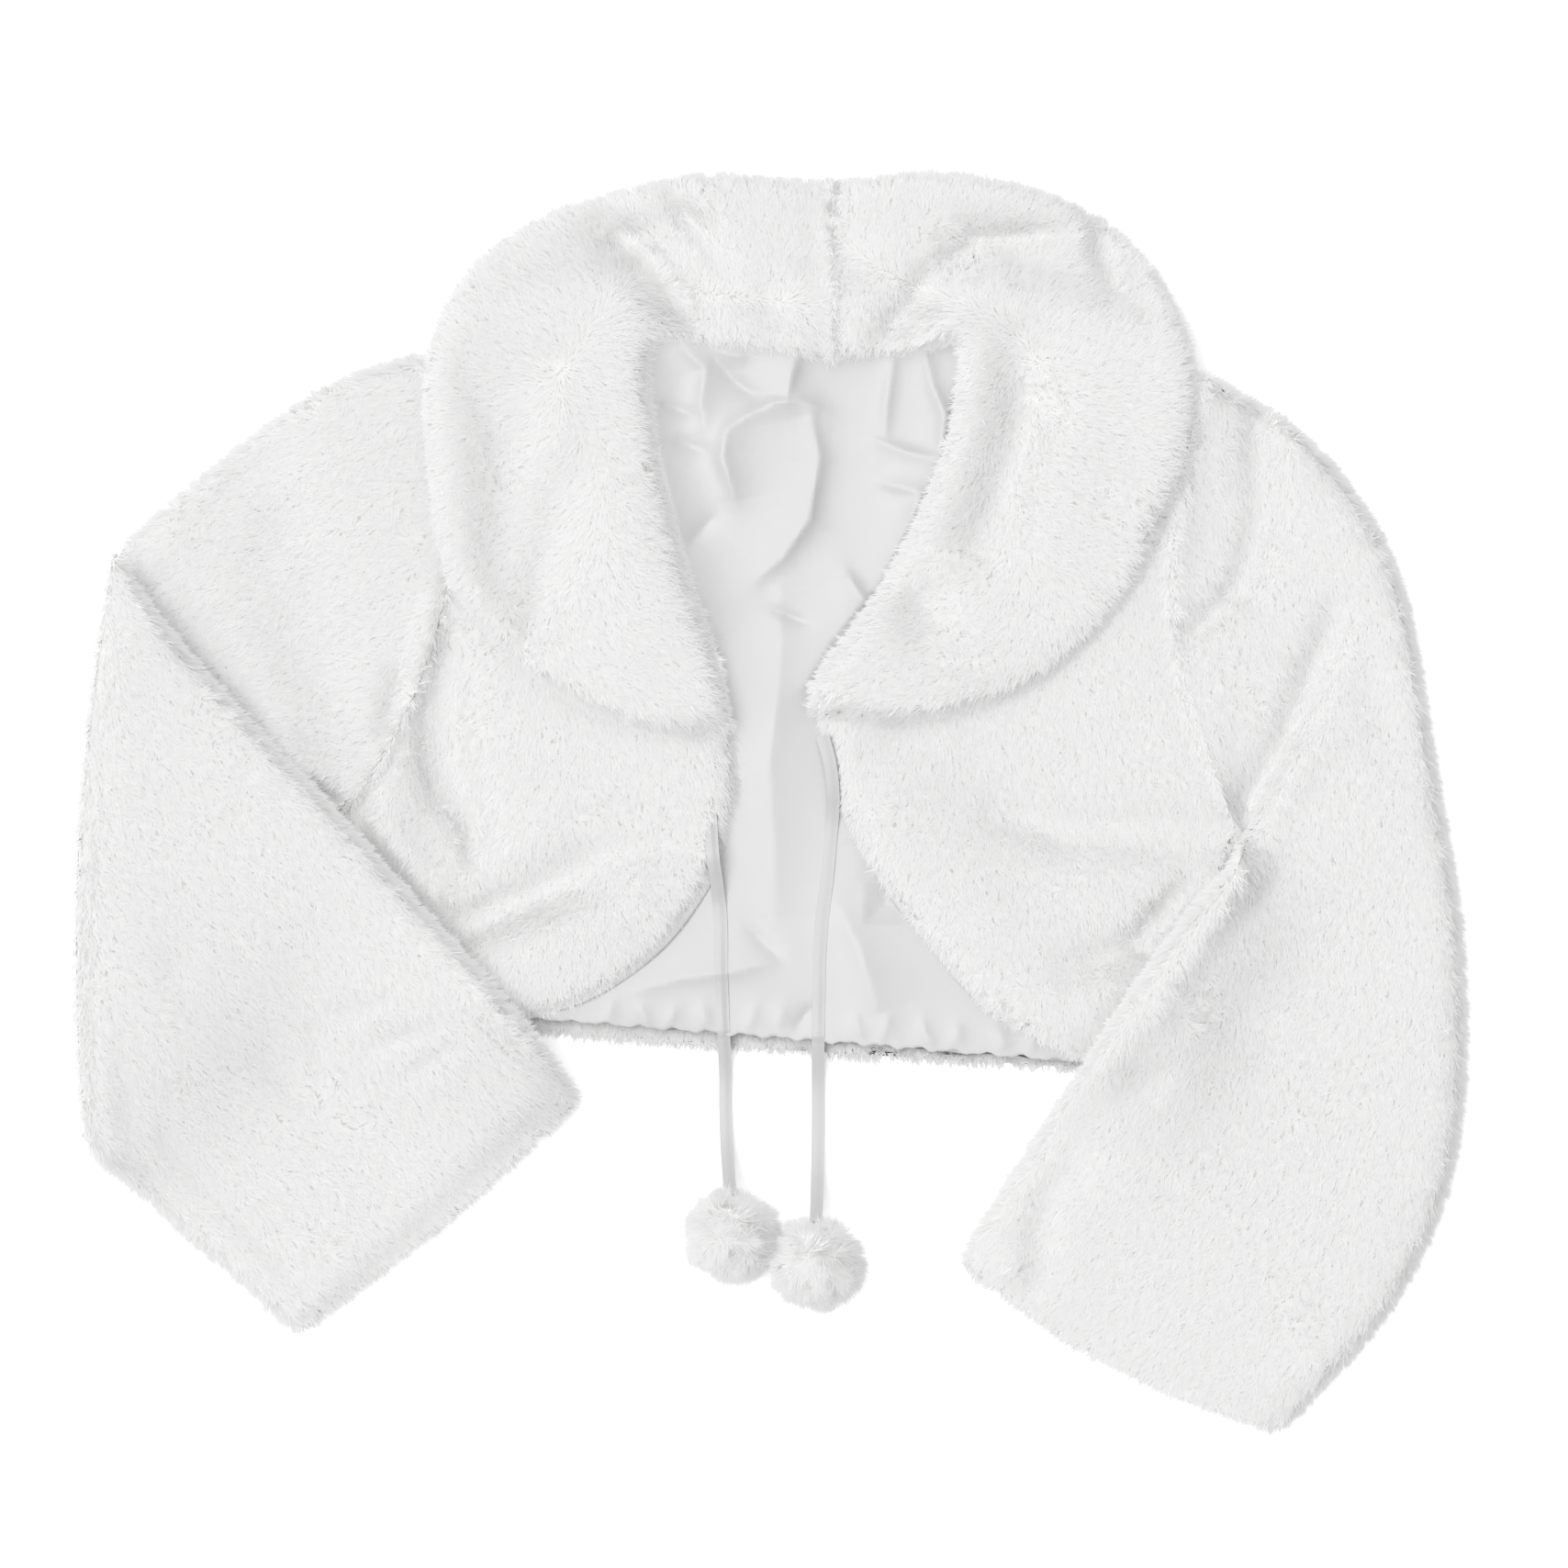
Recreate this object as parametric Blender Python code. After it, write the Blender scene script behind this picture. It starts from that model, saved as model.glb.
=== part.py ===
"""Plush fur bolero jacket with a shawl collar and pompom ties, laid flat on its back.

The pieces are laid down in the order in which they lie on each other. Each one takes the shape of
what is already there, so a collar wing or a folded sleeve climbs over the cloth below it.
Tables are in millimetres, X to the right, Y towards the collar, Z up from the surface below.
"""
from collections import namedtuple
import math

import bmesh
import bpy
from mathutils import Vector
from mathutils.bvhtree import BVHTree
import numpy as np

MM = 0.001

# Cloth, each wall with its pile
FUR_WALL = 9.0
BACK_WALL = 7.0
COLLAR_WALL = 13.0
SATIN_WALL = 1.2
ROLLED_EDGE_WALL = 2.6
THINNEST_FUR = 3.0
SLEEVE_SLIT = 1.0
SLEEVE_WALL = 2 * FUR_WALL + SLEEVE_SLIT
WIDEST_SLOT_INSET = 0.3
EDGE_ROUNDING = 13.0
SEAM_GAP = 0.3

# How much of a wall's height is left at its edge
FREE_EDGE = 0.3
SEAM_EDGE = 0.75
FULL_EDGE = 1.0

# The back's top edge rises to the neck seam and levels out over a few rows
NECK_RISE = 14.0
NECK_ROWS = 5

# Lining
LINING_INSET_SIDE = 16.0
LINING_INSET_HEM = 6.0
LINING_CROWDING = 0.11

# Ties and pompoms
RIBBON_WIDTH = 6.3
RIBBON_WALL = 1.0
RIBBON_STEP = 7.0
POMPOM_RADII = (21.0, 19.3, 19.3)
POMPOM_CORE = 0.62
POMPOM_LIFT = 0.4
LOCK_TAPER = 0.3
LOCK_SPREAD = 0.86
LOCK_UNEVENNESS = 0.07
LOCK_PHASE = 2.4

# How many rows and columns a piece is worked out in
ARM_STATIONS = 13
SIDE_ROWS = 5
BACK_COLUMNS = 14
FRONT_COLUMNS = 13
LINING_ROWS = 20
LINING_COLUMNS = 20
STRIP_ROWS = 14
STRIP_COLUMNS = 4
COLLAR_ROWS = 24
COLLAR_COLUMNS = 10
UPPER_SECTIONS = 8
LOWER_SECTIONS = 14
RIGHT_SECTIONS = 18
CURVE_SAMPLES = 24

# Moves the tables' zero to the middle of the cloth
ORIGIN_SHIFT = (-0.2, 0.7, 0.0)

# Height map of what has been laid down
BED_CELL = 4.0
BED_HALF_X = 360.0
BED_HALF_Y = 330.0

# Finish
FUR_WHITE = (0.86, 0.86, 0.86)
SATIN_WHITE = (0.80, 0.80, 0.80)
FUR_ROUGHNESS = 0.95
SATIN_ROUGHNESS = 0.35
SHARP_ANGLE = math.radians(50)

Knot = namedtuple("Knot", "x y")
Section = namedtuple("Section", "near_x near_y far_x far_y bow")
Fold = namedtuple("Fold", "from_x from_y to_x to_y half_width height")
RoutePoint = namedtuple("RoutePoint", "x y z")
Drape = namedtuple("Drape", "reach slope lies_on_all_below")

# Armholes: shoulder point, the point that pulls the curve towards the body, underarm point
LEFT_ARMHOLE = (Knot(-167, 220), Knot(-128, 103), Knot(-209, -7))
RIGHT_ARMHOLE = (Knot(216, 208), Knot(170, 94), Knot(229, -13))
LEFT_HEM_CORNER = Knot(-166, -110)
RIGHT_HEM_CORNER = Knot(185, -135)

LEFT_FRONT_EDGE = (
    Knot(-62, 225), Knot(-59, 195), Knot(-53, 154), Knot(-41, 114), Knot(-29, 78),
    Knot(-20, 49), Knot(-17, 26), Knot(-15, 1), Knot(-23, -19), Knot(-32, -40),
    Knot(-47, -63), Knot(-67, -82), Knot(-90, -95), Knot(-114, -104))
RIGHT_FRONT_EDGE = (
    Knot(94, 223), Knot(90, 199), Knot(84, 168), Knot(72, 141), Knot(55, 105),
    Knot(39, 82), Knot(22, 58), Knot(22, 38), Knot(32, 10), Knot(39, -14),
    Knot(73, -63), Knot(100, -95), Knot(115, -108), Knot(153, -125))
LEFT_SATIN_EDGE = (
    Knot(-18, 49), Knot(-10, 26), Knot(-8, 10), Knot(-11, -5), Knot(-22, -30),
    Knot(-40, -58), Knot(-56, -76), Knot(-81, -94), Knot(-104, -103))
RIGHT_SATIN_EDGE = (
    Knot(18, 52), Knot(18, 36), Knot(25, 20), Knot(31, 8), Knot(37, -15),
    Knot(71, -64), Knot(98, -96), Knot(113, -109))
SATIN_STRIP_WIDTH = 24.0

# Collar halves: near is the neck or roll edge, far is the free edge
LEFT_COLLAR = (
    Section(30, 216, 30, 303, 0), Section(5, 218, -4, 306, 0), Section(-22, 222, -42, 306, 0),
    Section(-45, 226, -81, 297, 0), Section(-57, 225, -114, 285, 0),
    Section(-60, 213, -147, 261, 0), Section(-59, 195, -167, 222, 0),
    Section(-55, 168, -168, 181, 0), Section(-49, 141, -164, 143, 0),
    Section(-40, 110, -156, 108, 0), Section(-30, 80, -126, 71, 0),
    Section(-23, 58, -85, 43, 0), Section(-18, 37, -36, 29, 0))
RIGHT_COLLAR = (
    Section(30, 216, 30, 303, 0), Section(50, 217, 63, 307, 0), Section(72, 220, 95, 307, 0),
    Section(90, 225, 131, 300, 0), Section(94, 220, 162, 286, 0),
    Section(92, 204, 190, 259, 0), Section(89, 184, 207, 217, 0),
    Section(81, 159, 206, 181, 0), Section(68, 130, 194, 141, 0),
    Section(52, 101, 177, 105, 0), Section(36, 79, 153, 76, 0),
    Section(23, 61, 120, 52, 0), Section(18, 43, 54, 36, 0))

# Sleeves: near is the shoulder side, far is the underarm side, bow bends a section outwards
LEFT_UPPER_SLEEVE = (
    Section(-167, 220, -209, -7, 0), Section(-198, 213, -227, -28, 0),
    Section(-227, 199, -249, -57, 0), Section(-254, 179, -274, -89, 0),
    Section(-282, 156, -301, -122, 5), Section(-318, 127, -332, -163, 9))
LEFT_LOWER_SLEEVE = (
    Section(-321, 126, -336, -168, 11), Section(-308, 102, -328, -178, 10),
    Section(-285, 74, -311, -190, 7), Section(-247, 31, -292, -208, 3),
    Section(-207, -10, -274, -224, 0), Section(-166, -57, -256, -239, 0),
    Section(-126, -100, -244, -251, -2), Section(-92, -145, -232, -261, -4))
RIGHT_SLEEVE = (
    Section(216, 208, 229, -13, 0), Section(252, 191, 230, -14.5, 0),
    Section(284, 158, 230, -16, 0), Section(309, 114, 229, -20, 0),
    Section(318, 69, 227.5, -26, 0), Section(327, 10, 221.5, -36, 0),
    Section(338, -53, 205, -54, 0), Section(341, -131, 178, -91, 0),
    Section(333, -188, 153, -129, 0), Section(304, -250, 122, -178, -4),
    Section(251, -309, 92, -225, -11))

# Folds: a negative height is a trough
COLLAR_FOLDS = (
    Fold(-126, 199, -126, 105, 9, -4.5), Fold(-108, 159, -112, 87, 8, -3.0),
    Fold(-81, 283, -42, 236, 11, -6.5), Fold(-40, 294, -18, 238, 12, 2.5),
    Fold(149, 274, 97, 269, 7, -6.5), Fold(95, 266, 66, 228, 7, -6.5),
    Fold(152, 258, 104, 253, 9, 3.0), Fold(100, 250, 80, 224, 8, 3.0),
    Fold(126, 213, 104, 123, 11, -4.5), Fold(77, 97, 86, 89, 14, -3.5),
    Fold(165, 271, 176, 249, 8, -3.5))
FRONT_FOLDS = (
    Fold(-157, 51, -157, 1, 11, -4.5), Fold(-146, 1, -144, -26, 9, -3.5),
    Fold(-204, -10, -166, -48, 9, -4.0), Fold(-162, -59, -108, -39, 10, -5.0),
    Fold(95, 1, 222, -14, 17, -4.5), Fold(180, -70, 205, -43, 10, -4.0))
SLEEVE_FOLDS = (
    Fold(241, 190, 241, 114, 13, -6.0), Fold(206, 82, 230, 103, 9, -4.0),
    Fold(277, 82, 228, -14, 8, -6.5), Fold(-297, -170, -229, -237, 7, -3.5),
    Fold(-258, 150, -226, 60, 12, -4.0), Fold(300, -60, 250, -90, 16, -3.0))
LINING_FOLDS = (
    Fold(-22, 179, -18, 148, 7, 3.5), Fold(-36, 186, 5, 197, 8, 2.5),
    Fold(14, 177, 14, 123, 10, 3.0), Fold(57, 213, 57, 181, 7, 2.5),
    Fold(57, 181, 84, 168, 7, 2.0), Fold(40, 112, 46, 96, 8, 2.5),
    Fold(0, -79, -78, -95, 9, 3.0), Fold(43, -57, 43, -98, 8, 2.5))

# Ties: sewn in where the roll of the collar ends, then over the edge and down to a pompom
LEFT_TIE = (
    RoutePoint(-27, 22, 21.9), RoutePoint(-30, 8, 21.9), RoutePoint(-29, -12, 21.9),
    RoutePoint(-28, -27, 21.6), RoutePoint(-26, -41, 15.4), RoutePoint(-24.5, -54, 10.4),
    RoutePoint(-24, -68, 10.2), RoutePoint(-24, -83, 12.0), RoutePoint(-23.5, -97, 10.6),
    RoutePoint(-23, -111, 10.2), RoutePoint(-22.5, -121, 7.0), RoutePoint(-22, -135, 2.0),
    RoutePoint(-22, -150, 1.2), RoutePoint(-21.5, -166, 3.4), RoutePoint(-20.5, -180, 9.5),
    RoutePoint(-19.5, -193, 17.0))
RIGHT_TIE = (
    RoutePoint(25, 32, 20.2), RoutePoint(28.5, 18, 19.4), RoutePoint(30, 4, 16.8),
    RoutePoint(30, -6, 13.4), RoutePoint(29.5, -18, 10.4), RoutePoint(28, -36, 9.5),
    RoutePoint(25.5, -58, 9.5), RoutePoint(24, -78, 9.9), RoutePoint(23.8, -95, 9.6),
    RoutePoint(23.5, -115, 10.0), RoutePoint(23.5, -125, 7.0), RoutePoint(23.5, -139, 2.0),
    RoutePoint(23.5, -158, 1.2), RoutePoint(23.2, -178, 3.4), RoutePoint(22.9, -193, 9.5),
    RoutePoint(22.5, -206, 17.0))
LEFT_POMPOM_CENTRE = Knot(-18, -213)
RIGHT_POMPOM_CENTRE = Knot(22.5, -226)

# How a piece bridges what it lies on: how far it stays level past an edge, how steeply it then
# comes down, and the Y below which it lies on the pieces before it and not beside them
PANEL_DRAPE = Drape(27.0, 0.8, BED_HALF_Y)
FLOOR_DRAPE = Drape(0.0, 1.0, -BED_HALF_Y)
FOLDED_SLEEVE_DRAPE = Drape(20.0, 0.8, BED_HALF_Y)
RIGHT_SLEEVE_DRAPE = Drape(14.0, 1.0, -34.0)


def cosine_stations(count):
    """Return count stations from 0 to 1, crowded at both ends."""
    return 0.5 - 0.5 * np.cos(np.linspace(0.0, math.pi, count))


def through(rows, count):
    """Return count rows on a smooth curve through the given ones, evenly spaced along it.

    A table of sections is spaced along the middle line of its two edges.
    """
    table = np.array(rows, dtype=float)
    padded = np.vstack([2 * table[0] - table[1], table, 2 * table[-1] - table[-2]])
    steps = np.linspace(0.0, 1.0, CURVE_SAMPLES, endpoint=False)[:, None]
    pieces = []
    for first in range(len(table) - 1):
        before, start, end, after = padded[first:first + 4]
        pieces.append(0.5 * (2 * start + (end - before) * steps
                             + (2 * before - 5 * start + 4 * end - after) * steps ** 2
                             + (3 * start - before - 3 * end + after) * steps ** 3))
    dense = np.vstack(pieces + [table[-1:]])
    middle = dense[:, :2]
    if dense.shape[1] == len(Section._fields):
        middle = 0.5 * (dense[:, 0:2] + dense[:, 2:4])
    elif dense.shape[1] == len(RoutePoint._fields):
        middle = dense
    travelled = lengths_along(middle)
    wanted = np.linspace(0.0, travelled[-1], count)
    return np.column_stack([np.interp(wanted, travelled, column) for column in dense.T])


def lengths_along(points):
    """Return the length travelled at each of a row of points."""
    return np.concatenate([[0.0], np.cumsum(np.linalg.norm(np.diff(points, axis=0), axis=1))])


def armhole(knots, clearance):
    """Return the armhole's points, moved sideways by a clearance."""
    shoulder, pull, underarm = np.array(knots, dtype=float)
    station = cosine_stations(ARM_STATIONS)[:, None]
    curve = (shoulder * (1 - station) ** 2 + pull * 2 * station * (1 - station)
             + underarm * station ** 2)
    curve[:, 0] += clearance
    return curve


def side_of_body(knots, hem_corner, clearance):
    """Return a body panel's side: the armhole, then the side seam down to the hem."""
    arm = armhole(knots, clearance)
    seam = np.linspace(arm[-1], np.array(hem_corner, dtype=float), SIDE_ROWS + 1)
    return np.vstack([arm, seam[1:]])


def rounding(distance, kept):
    """Return the part of a wall's height that stands at a distance from an edge."""
    inside = np.clip(distance / EDGE_ROUNDING, 0.0, 1.0)
    return kept + (1.0 - kept) * np.sqrt(1.0 - (1.0 - inside) ** 2)


def fold_height(folds, x, y):
    """Return the sum of the folds' heights at each point."""
    total = np.zeros_like(x)
    for fold in folds:
        run_x = fold.to_x - fold.from_x
        run_y = fold.to_y - fold.from_y
        along = ((x - fold.from_x) * run_x + (y - fold.from_y) * run_y) / (run_x ** 2 + run_y ** 2)
        along = np.clip(along, 0.0, 1.0)
        away = np.hypot(x - fold.from_x - along * run_x, y - fold.from_y - along * run_y)
        total += fold.height * np.exp(-(away / fold.half_width) ** 2)
    return total


class Bed:
    """Heights of everything laid down so far, on a square grid."""

    def __init__(self):
        self.x = np.arange(-BED_HALF_X, BED_HALF_X + BED_CELL, BED_CELL)
        self.y = np.arange(-BED_HALF_Y, BED_HALF_Y + BED_CELL, BED_CELL)
        self.heights = np.zeros((len(self.y), len(self.x)))

    def cell(self, x, y):
        """Return the row and column of the cell nearest to each point."""
        row = np.rint((np.asarray(y) + BED_HALF_Y) / BED_CELL).astype(int)
        column = np.rint((np.asarray(x) + BED_HALF_X) / BED_CELL).astype(int)
        return row, column

    def lay(self, piece):
        """Add the top of a piece to the heights."""
        corners = [vertex.co / MM for vertex in piece.data.vertices]
        tree = BVHTree.FromPolygons(corners, [tuple(face.vertices) for face in piece.data.polygons])
        low = np.min(corners, axis=0)
        high = np.max(corners, axis=0)
        above = high[2] + 1.0
        for corner in corners:
            row, column = self.cell(corner.x, corner.y)
            self.heights[row, column] = max(self.heights[row, column], corner.z)
        for row in np.flatnonzero((self.y >= low[1]) & (self.y <= high[1])):
            for column in np.flatnonzero((self.x >= low[0]) & (self.x <= high[0])):
                start = Vector((self.x[column], self.y[row], above))
                hit = tree.ray_cast(start, Vector((0.0, 0.0, -1.0)))[0]
                if hit is not None:
                    self.heights[row, column] = max(self.heights[row, column], hit.z)

    def under(self, x, y, drape):
        """Return the underside of a cloth at each point, which bridges and ramps off the heights."""
        support = np.where(self.y[:, None] < drape.lies_on_all_below, self.heights, 0.0)
        ramp = drape.reach + support.max() / drape.slope
        cells = int(ramp / BED_CELL) + 1
        padded = np.pad(support, cells)
        bridged = np.zeros_like(support)
        for down in range(-cells, cells + 1):
            for across in range(-cells, cells + 1):
                away = BED_CELL * math.hypot(down, across)
                if away <= ramp:
                    shifted = padded[cells + down:cells + down + len(self.y),
                                     cells + across:cells + across + len(self.x)]
                    drop = drape.slope * max(0.0, away - drape.reach)
                    bridged = np.maximum(bridged, shifted - drop)
        found = bridged[self.cell(x, y)]
        return np.where(found > 0.0, found + SEAM_GAP, 0.0)


def loft(name, rings, cores, material):
    """Make one closed solid from rings, with a slot through it where cores are given."""
    mesh = bmesh.new()

    def skin(loops):
        grid = [[mesh.verts.new(Vector(point) * MM) for point in loop] for loop in loops]
        for near, far in zip(grid, grid[1:]):
            for index in range(len(near)):
                after = (index + 1) % len(near)
                mesh.faces.new((near[index], near[after], far[after], far[index]))
        return grid

    outer = skin(rings)
    if cores is None:
        for loop in (outer[0], outer[-1]):
            half = len(loop) // 2
            for index in range(half - 1):
                mesh.faces.new((loop[index], loop[index + 1], loop[-2 - index], loop[-1 - index]))
    else:
        inner = skin(cores)
        for loop, core in ((outer[0], inner[0]), (outer[-1], inner[-1])):
            for index in range(len(loop)):
                after = (index + 1) % len(loop)
                mesh.faces.new((loop[index], loop[after], core[after], core[index]))
    bmesh.ops.recalc_face_normals(mesh, faces=mesh.faces)
    return finish(name, mesh, material)


def finish(name, mesh, material):
    """Turn a bmesh into a named, smooth-shaded object under the garment's empty."""
    data = bpy.data.meshes.new(name)
    mesh.to_mesh(data)
    mesh.free()
    data.shade_smooth()
    data.set_sharp_from_angle(angle=SHARP_ANGLE)
    data.materials.append(material(name))
    piece = bpy.data.objects.new(name, data)
    piece.parent = GARMENT
    bpy.context.collection.objects.link(piece)
    return piece


def plain_material(name, colour, roughness):
    """Return a material of one colour and roughness."""
    made = bpy.data.materials.new(name)
    made.use_nodes = True
    shader = made.node_tree.nodes["Principled BSDF"]
    shader.inputs["Base Color"].default_value = (*colour, 1.0)
    shader.inputs["Roughness"].default_value = roughness
    shader.inputs["Metallic"].default_value = 0.0
    return made


def fur(name):
    return plain_material(name + "_fur", FUR_WHITE, FUR_ROUGHNESS)


def satin(name):
    return plain_material(name + "_satin", SATIN_WHITE, SATIN_ROUGHNESS)


def surface_points(near, far, bow, stations):
    """Return x and y of a grid of points between two edges, and its distances from them."""
    span = far - near
    width = np.linalg.norm(span, axis=1)
    outwards = np.column_stack([span[:, 1], -span[:, 0]]) / width[:, None]
    bulge = 4.0 * stations * (1.0 - stations)
    points = (near[:, None, :] + span[:, None, :] * stations[None, :, None]
              + outwards[:, None, :] * bow[:, None, None] * bulge[None, :, None])
    return points[..., 0], points[..., 1], width[:, None] * stations[None, :]


def wall_heights(x, y, from_near, wall, kept):
    """Return the wall's height over its underside, rounded off at the four edges."""
    near_kept, far_kept, first_kept, last_kept = kept
    along = lengths_along(np.column_stack([x.mean(axis=1), y.mean(axis=1)]))[:, None]
    from_far = from_near[:, -1:] - from_near
    return (wall * rounding(from_near, near_kept) * rounding(from_far, far_kept)
            * rounding(along, first_kept) * rounding(along[-1] - along, last_kept))


def rings_from(x, y, top, bottom):
    """Return closed rings that run along the top of each row and back along its underside."""
    upper = np.stack([x, y, top], axis=-1)
    lower = np.stack([x, y, bottom], axis=-1)[:, ::-1]
    return np.concatenate([upper, lower], axis=1)


def neck_bow(rows):
    """Return how far each row of the back bows upwards, most at the neck."""
    return -NECK_RISE * np.clip(1.0 - np.arange(rows) / NECK_ROWS, 0.0, 1.0) ** 2


def fur_panel(name, near, far, columns, wall, kept, folds=(), bow=None):
    """Make a fur panel between two edges, on what lies below it."""
    stations = cosine_stations(columns)
    bow = np.zeros(len(near)) if bow is None else bow
    x, y, from_near = surface_points(near, far, bow, stations)
    bottom = BED.under(x, y, PANEL_DRAPE)
    height = wall_heights(x, y, from_near, wall, kept)
    relief = fold_height(folds, x, y) * height / wall
    top = bottom + np.maximum(height + relief, np.minimum(height, THINNEST_FUR))
    return loft(name, rings_from(x, y, top, bottom), None, fur)


def satin_panel(name, near, far, stations, wall, folds=(), bow=None):
    """Make a thin satin panel, on what lies below it, whose folds lift both of its faces."""
    bow = np.zeros(len(near)) if bow is None else bow
    x, y, _ = surface_points(near, far, bow, stations)
    bottom = BED.under(x, y, PANEL_DRAPE) + fold_height(folds, x, y)
    return loft(name, rings_from(x, y, bottom + wall, bottom), None, satin)


def sleeve(name, sections, kept, drape, arm_edge=None):
    """Make a flattened sleeve, on what lies below it: a rounded tube with a slot through it."""
    stations = cosine_stations(ARM_STATIONS)
    x, y, from_near = surface_points(sections[:, 0:2], sections[:, 2:4], sections[:, 4], stations)
    if arm_edge is not None:
        x[0], y[0] = arm_edge.T
    height = wall_heights(x, y, from_near, SLEEVE_WALL, kept)
    relief = fold_height(SLEEVE_FOLDS, x, y) * height / SLEEVE_WALL
    bottom = BED.under(x, y, drape)
    tuck = 0.5 * (SLEEVE_WALL - height)
    rings = rings_from(x, y, bottom + tuck + height + relief, bottom + tuck)
    inset = np.minimum(FUR_WALL / from_near[:, -1:], WIDEST_SLOT_INSET)
    slot = inset + (1.0 - 2.0 * inset) * stations[None, :]
    slot_x = rows_interpolated(slot, stations, x)
    slot_y = rows_interpolated(slot, stations, y)
    middle = rows_interpolated(slot, stations, bottom + 0.5 * (SLEEVE_WALL + relief))
    cores = rings_from(slot_x, slot_y, middle + 0.5 * SLEEVE_SLIT, middle - 0.5 * SLEEVE_SLIT)
    return loft(name, rings, cores, fur)


def rows_interpolated(wanted, stations, values):
    """Read each row of values at that row's own stations."""
    return np.array([np.interp(row, stations, value) for row, value in zip(wanted, values)])


def build_back(left_side, right_side):
    """The back panel with its lining inside."""
    BED.lay(fur_panel("back_panel", left_side, right_side, BACK_COLUMNS, BACK_WALL,
                      (SEAM_EDGE, SEAM_EDGE, SEAM_EDGE, FREE_EDGE), bow=neck_bow(len(left_side))))
    lining_left = left_side + (LINING_INSET_SIDE, 0.0)
    lining_right = right_side - (LINING_INSET_SIDE, 0.0)
    lining_left[-1, 1] += LINING_INSET_HEM
    lining_right[-1, 1] += LINING_INSET_HEM
    even = np.linspace(0.0, 1.0, LINING_COLUMNS)
    crowded = even - LINING_CROWDING * np.sin(2.0 * math.pi * even)
    BED.lay(satin_panel("back_lining", through(lining_left, LINING_ROWS),
                        through(lining_right, LINING_ROWS), crowded, SATIN_WALL, LINING_FOLDS,
                        neck_bow(LINING_ROWS)))


def build_fronts(left_side, right_side):
    """The two fronts, each over its own rolled satin edge."""
    stations = cosine_stations(STRIP_COLUMNS)
    width = (SATIN_STRIP_WIDTH, 0.0)
    left_strip = through(LEFT_SATIN_EDGE, STRIP_ROWS)
    right_strip = through(RIGHT_SATIN_EDGE, STRIP_ROWS)
    strips = [
        satin_panel("left_front_lining", left_strip - width, left_strip, stations, ROLLED_EDGE_WALL),
        satin_panel("right_front_lining", right_strip, right_strip + width, stations,
                    ROLLED_EDGE_WALL)]
    for strip in strips:
        BED.lay(strip)
    fronts = [
        fur_panel("left_front", left_side, through(LEFT_FRONT_EDGE, len(left_side)), FRONT_COLUMNS,
                  FUR_WALL, (SEAM_EDGE, FREE_EDGE, SEAM_EDGE, FREE_EDGE), FRONT_FOLDS),
        fur_panel("right_front", through(RIGHT_FRONT_EDGE, len(right_side)), right_side,
                  FRONT_COLUMNS, FUR_WALL, (FREE_EDGE, SEAM_EDGE, SEAM_EDGE, FREE_EDGE),
                  FRONT_FOLDS)]
    for front in fronts:
        BED.lay(front)


def build_sleeves():
    """The two sleeves from their armholes: the left one down to its fold, the right one whole."""
    clear = 0.5 * SEAM_GAP
    kept = (FREE_EDGE, FREE_EDGE, FULL_EDGE, FREE_EDGE)
    sleeves = [
        sleeve("left_sleeve_upper", through(LEFT_UPPER_SLEEVE, UPPER_SECTIONS), kept, FLOOR_DRAPE,
               armhole(LEFT_ARMHOLE, -clear)),
        sleeve("right_sleeve", through(RIGHT_SLEEVE, RIGHT_SECTIONS), kept, RIGHT_SLEEVE_DRAPE,
               armhole(RIGHT_ARMHOLE, clear))]
    for stretch in sleeves:
        BED.lay(stretch)


def build_collar():
    """Two halves, a seam gap apart at the centre back."""
    halves = []
    for name, table, side in (("left_collar", LEFT_COLLAR, -1.0), ("right_collar", RIGHT_COLLAR, 1.0)):
        sections = through(table, COLLAR_ROWS)
        shift = (0.5 * side * SEAM_GAP, 0.0)
        halves.append(fur_panel(name, sections[:, 0:2] + shift, sections[:, 2:4] + shift,
                                COLLAR_COLUMNS, COLLAR_WALL,
                                (FREE_EDGE, FREE_EDGE, SEAM_EDGE, FREE_EDGE), COLLAR_FOLDS))
    for half in halves:
        BED.lay(half)


def build_folded_stretch():
    """The left sleeve from its fold to its cuff, over the upper stretch and the front."""
    sleeve("left_sleeve_lower", through(LEFT_LOWER_SLEEVE, LOWER_SECTIONS),
           (FREE_EDGE, FREE_EDGE, FREE_EDGE, FREE_EDGE), FOLDED_SLEEVE_DRAPE)


def build_tie(name, route):
    """A flat ribbon along its route, level from side to side."""
    length = lengths_along(np.array(route, dtype=float))[-1]
    line = through(route, int(length / RIBBON_STEP) + 1)
    heading = np.gradient(line, axis=0)
    sideways = np.column_stack([-heading[:, 1], heading[:, 0], np.zeros(len(line))])
    sideways /= np.linalg.norm(sideways, axis=1)[:, None]
    upright = np.cross(heading / np.linalg.norm(heading, axis=1)[:, None], sideways)
    half_width = 0.5 * RIBBON_WIDTH * sideways
    half_wall = 0.5 * RIBBON_WALL * upright
    rings = np.stack([line - half_width + half_wall, line + half_width + half_wall,
                      line + half_width - half_wall, line - half_width - half_wall], axis=1)
    loft(name, rings, None, satin)


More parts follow.
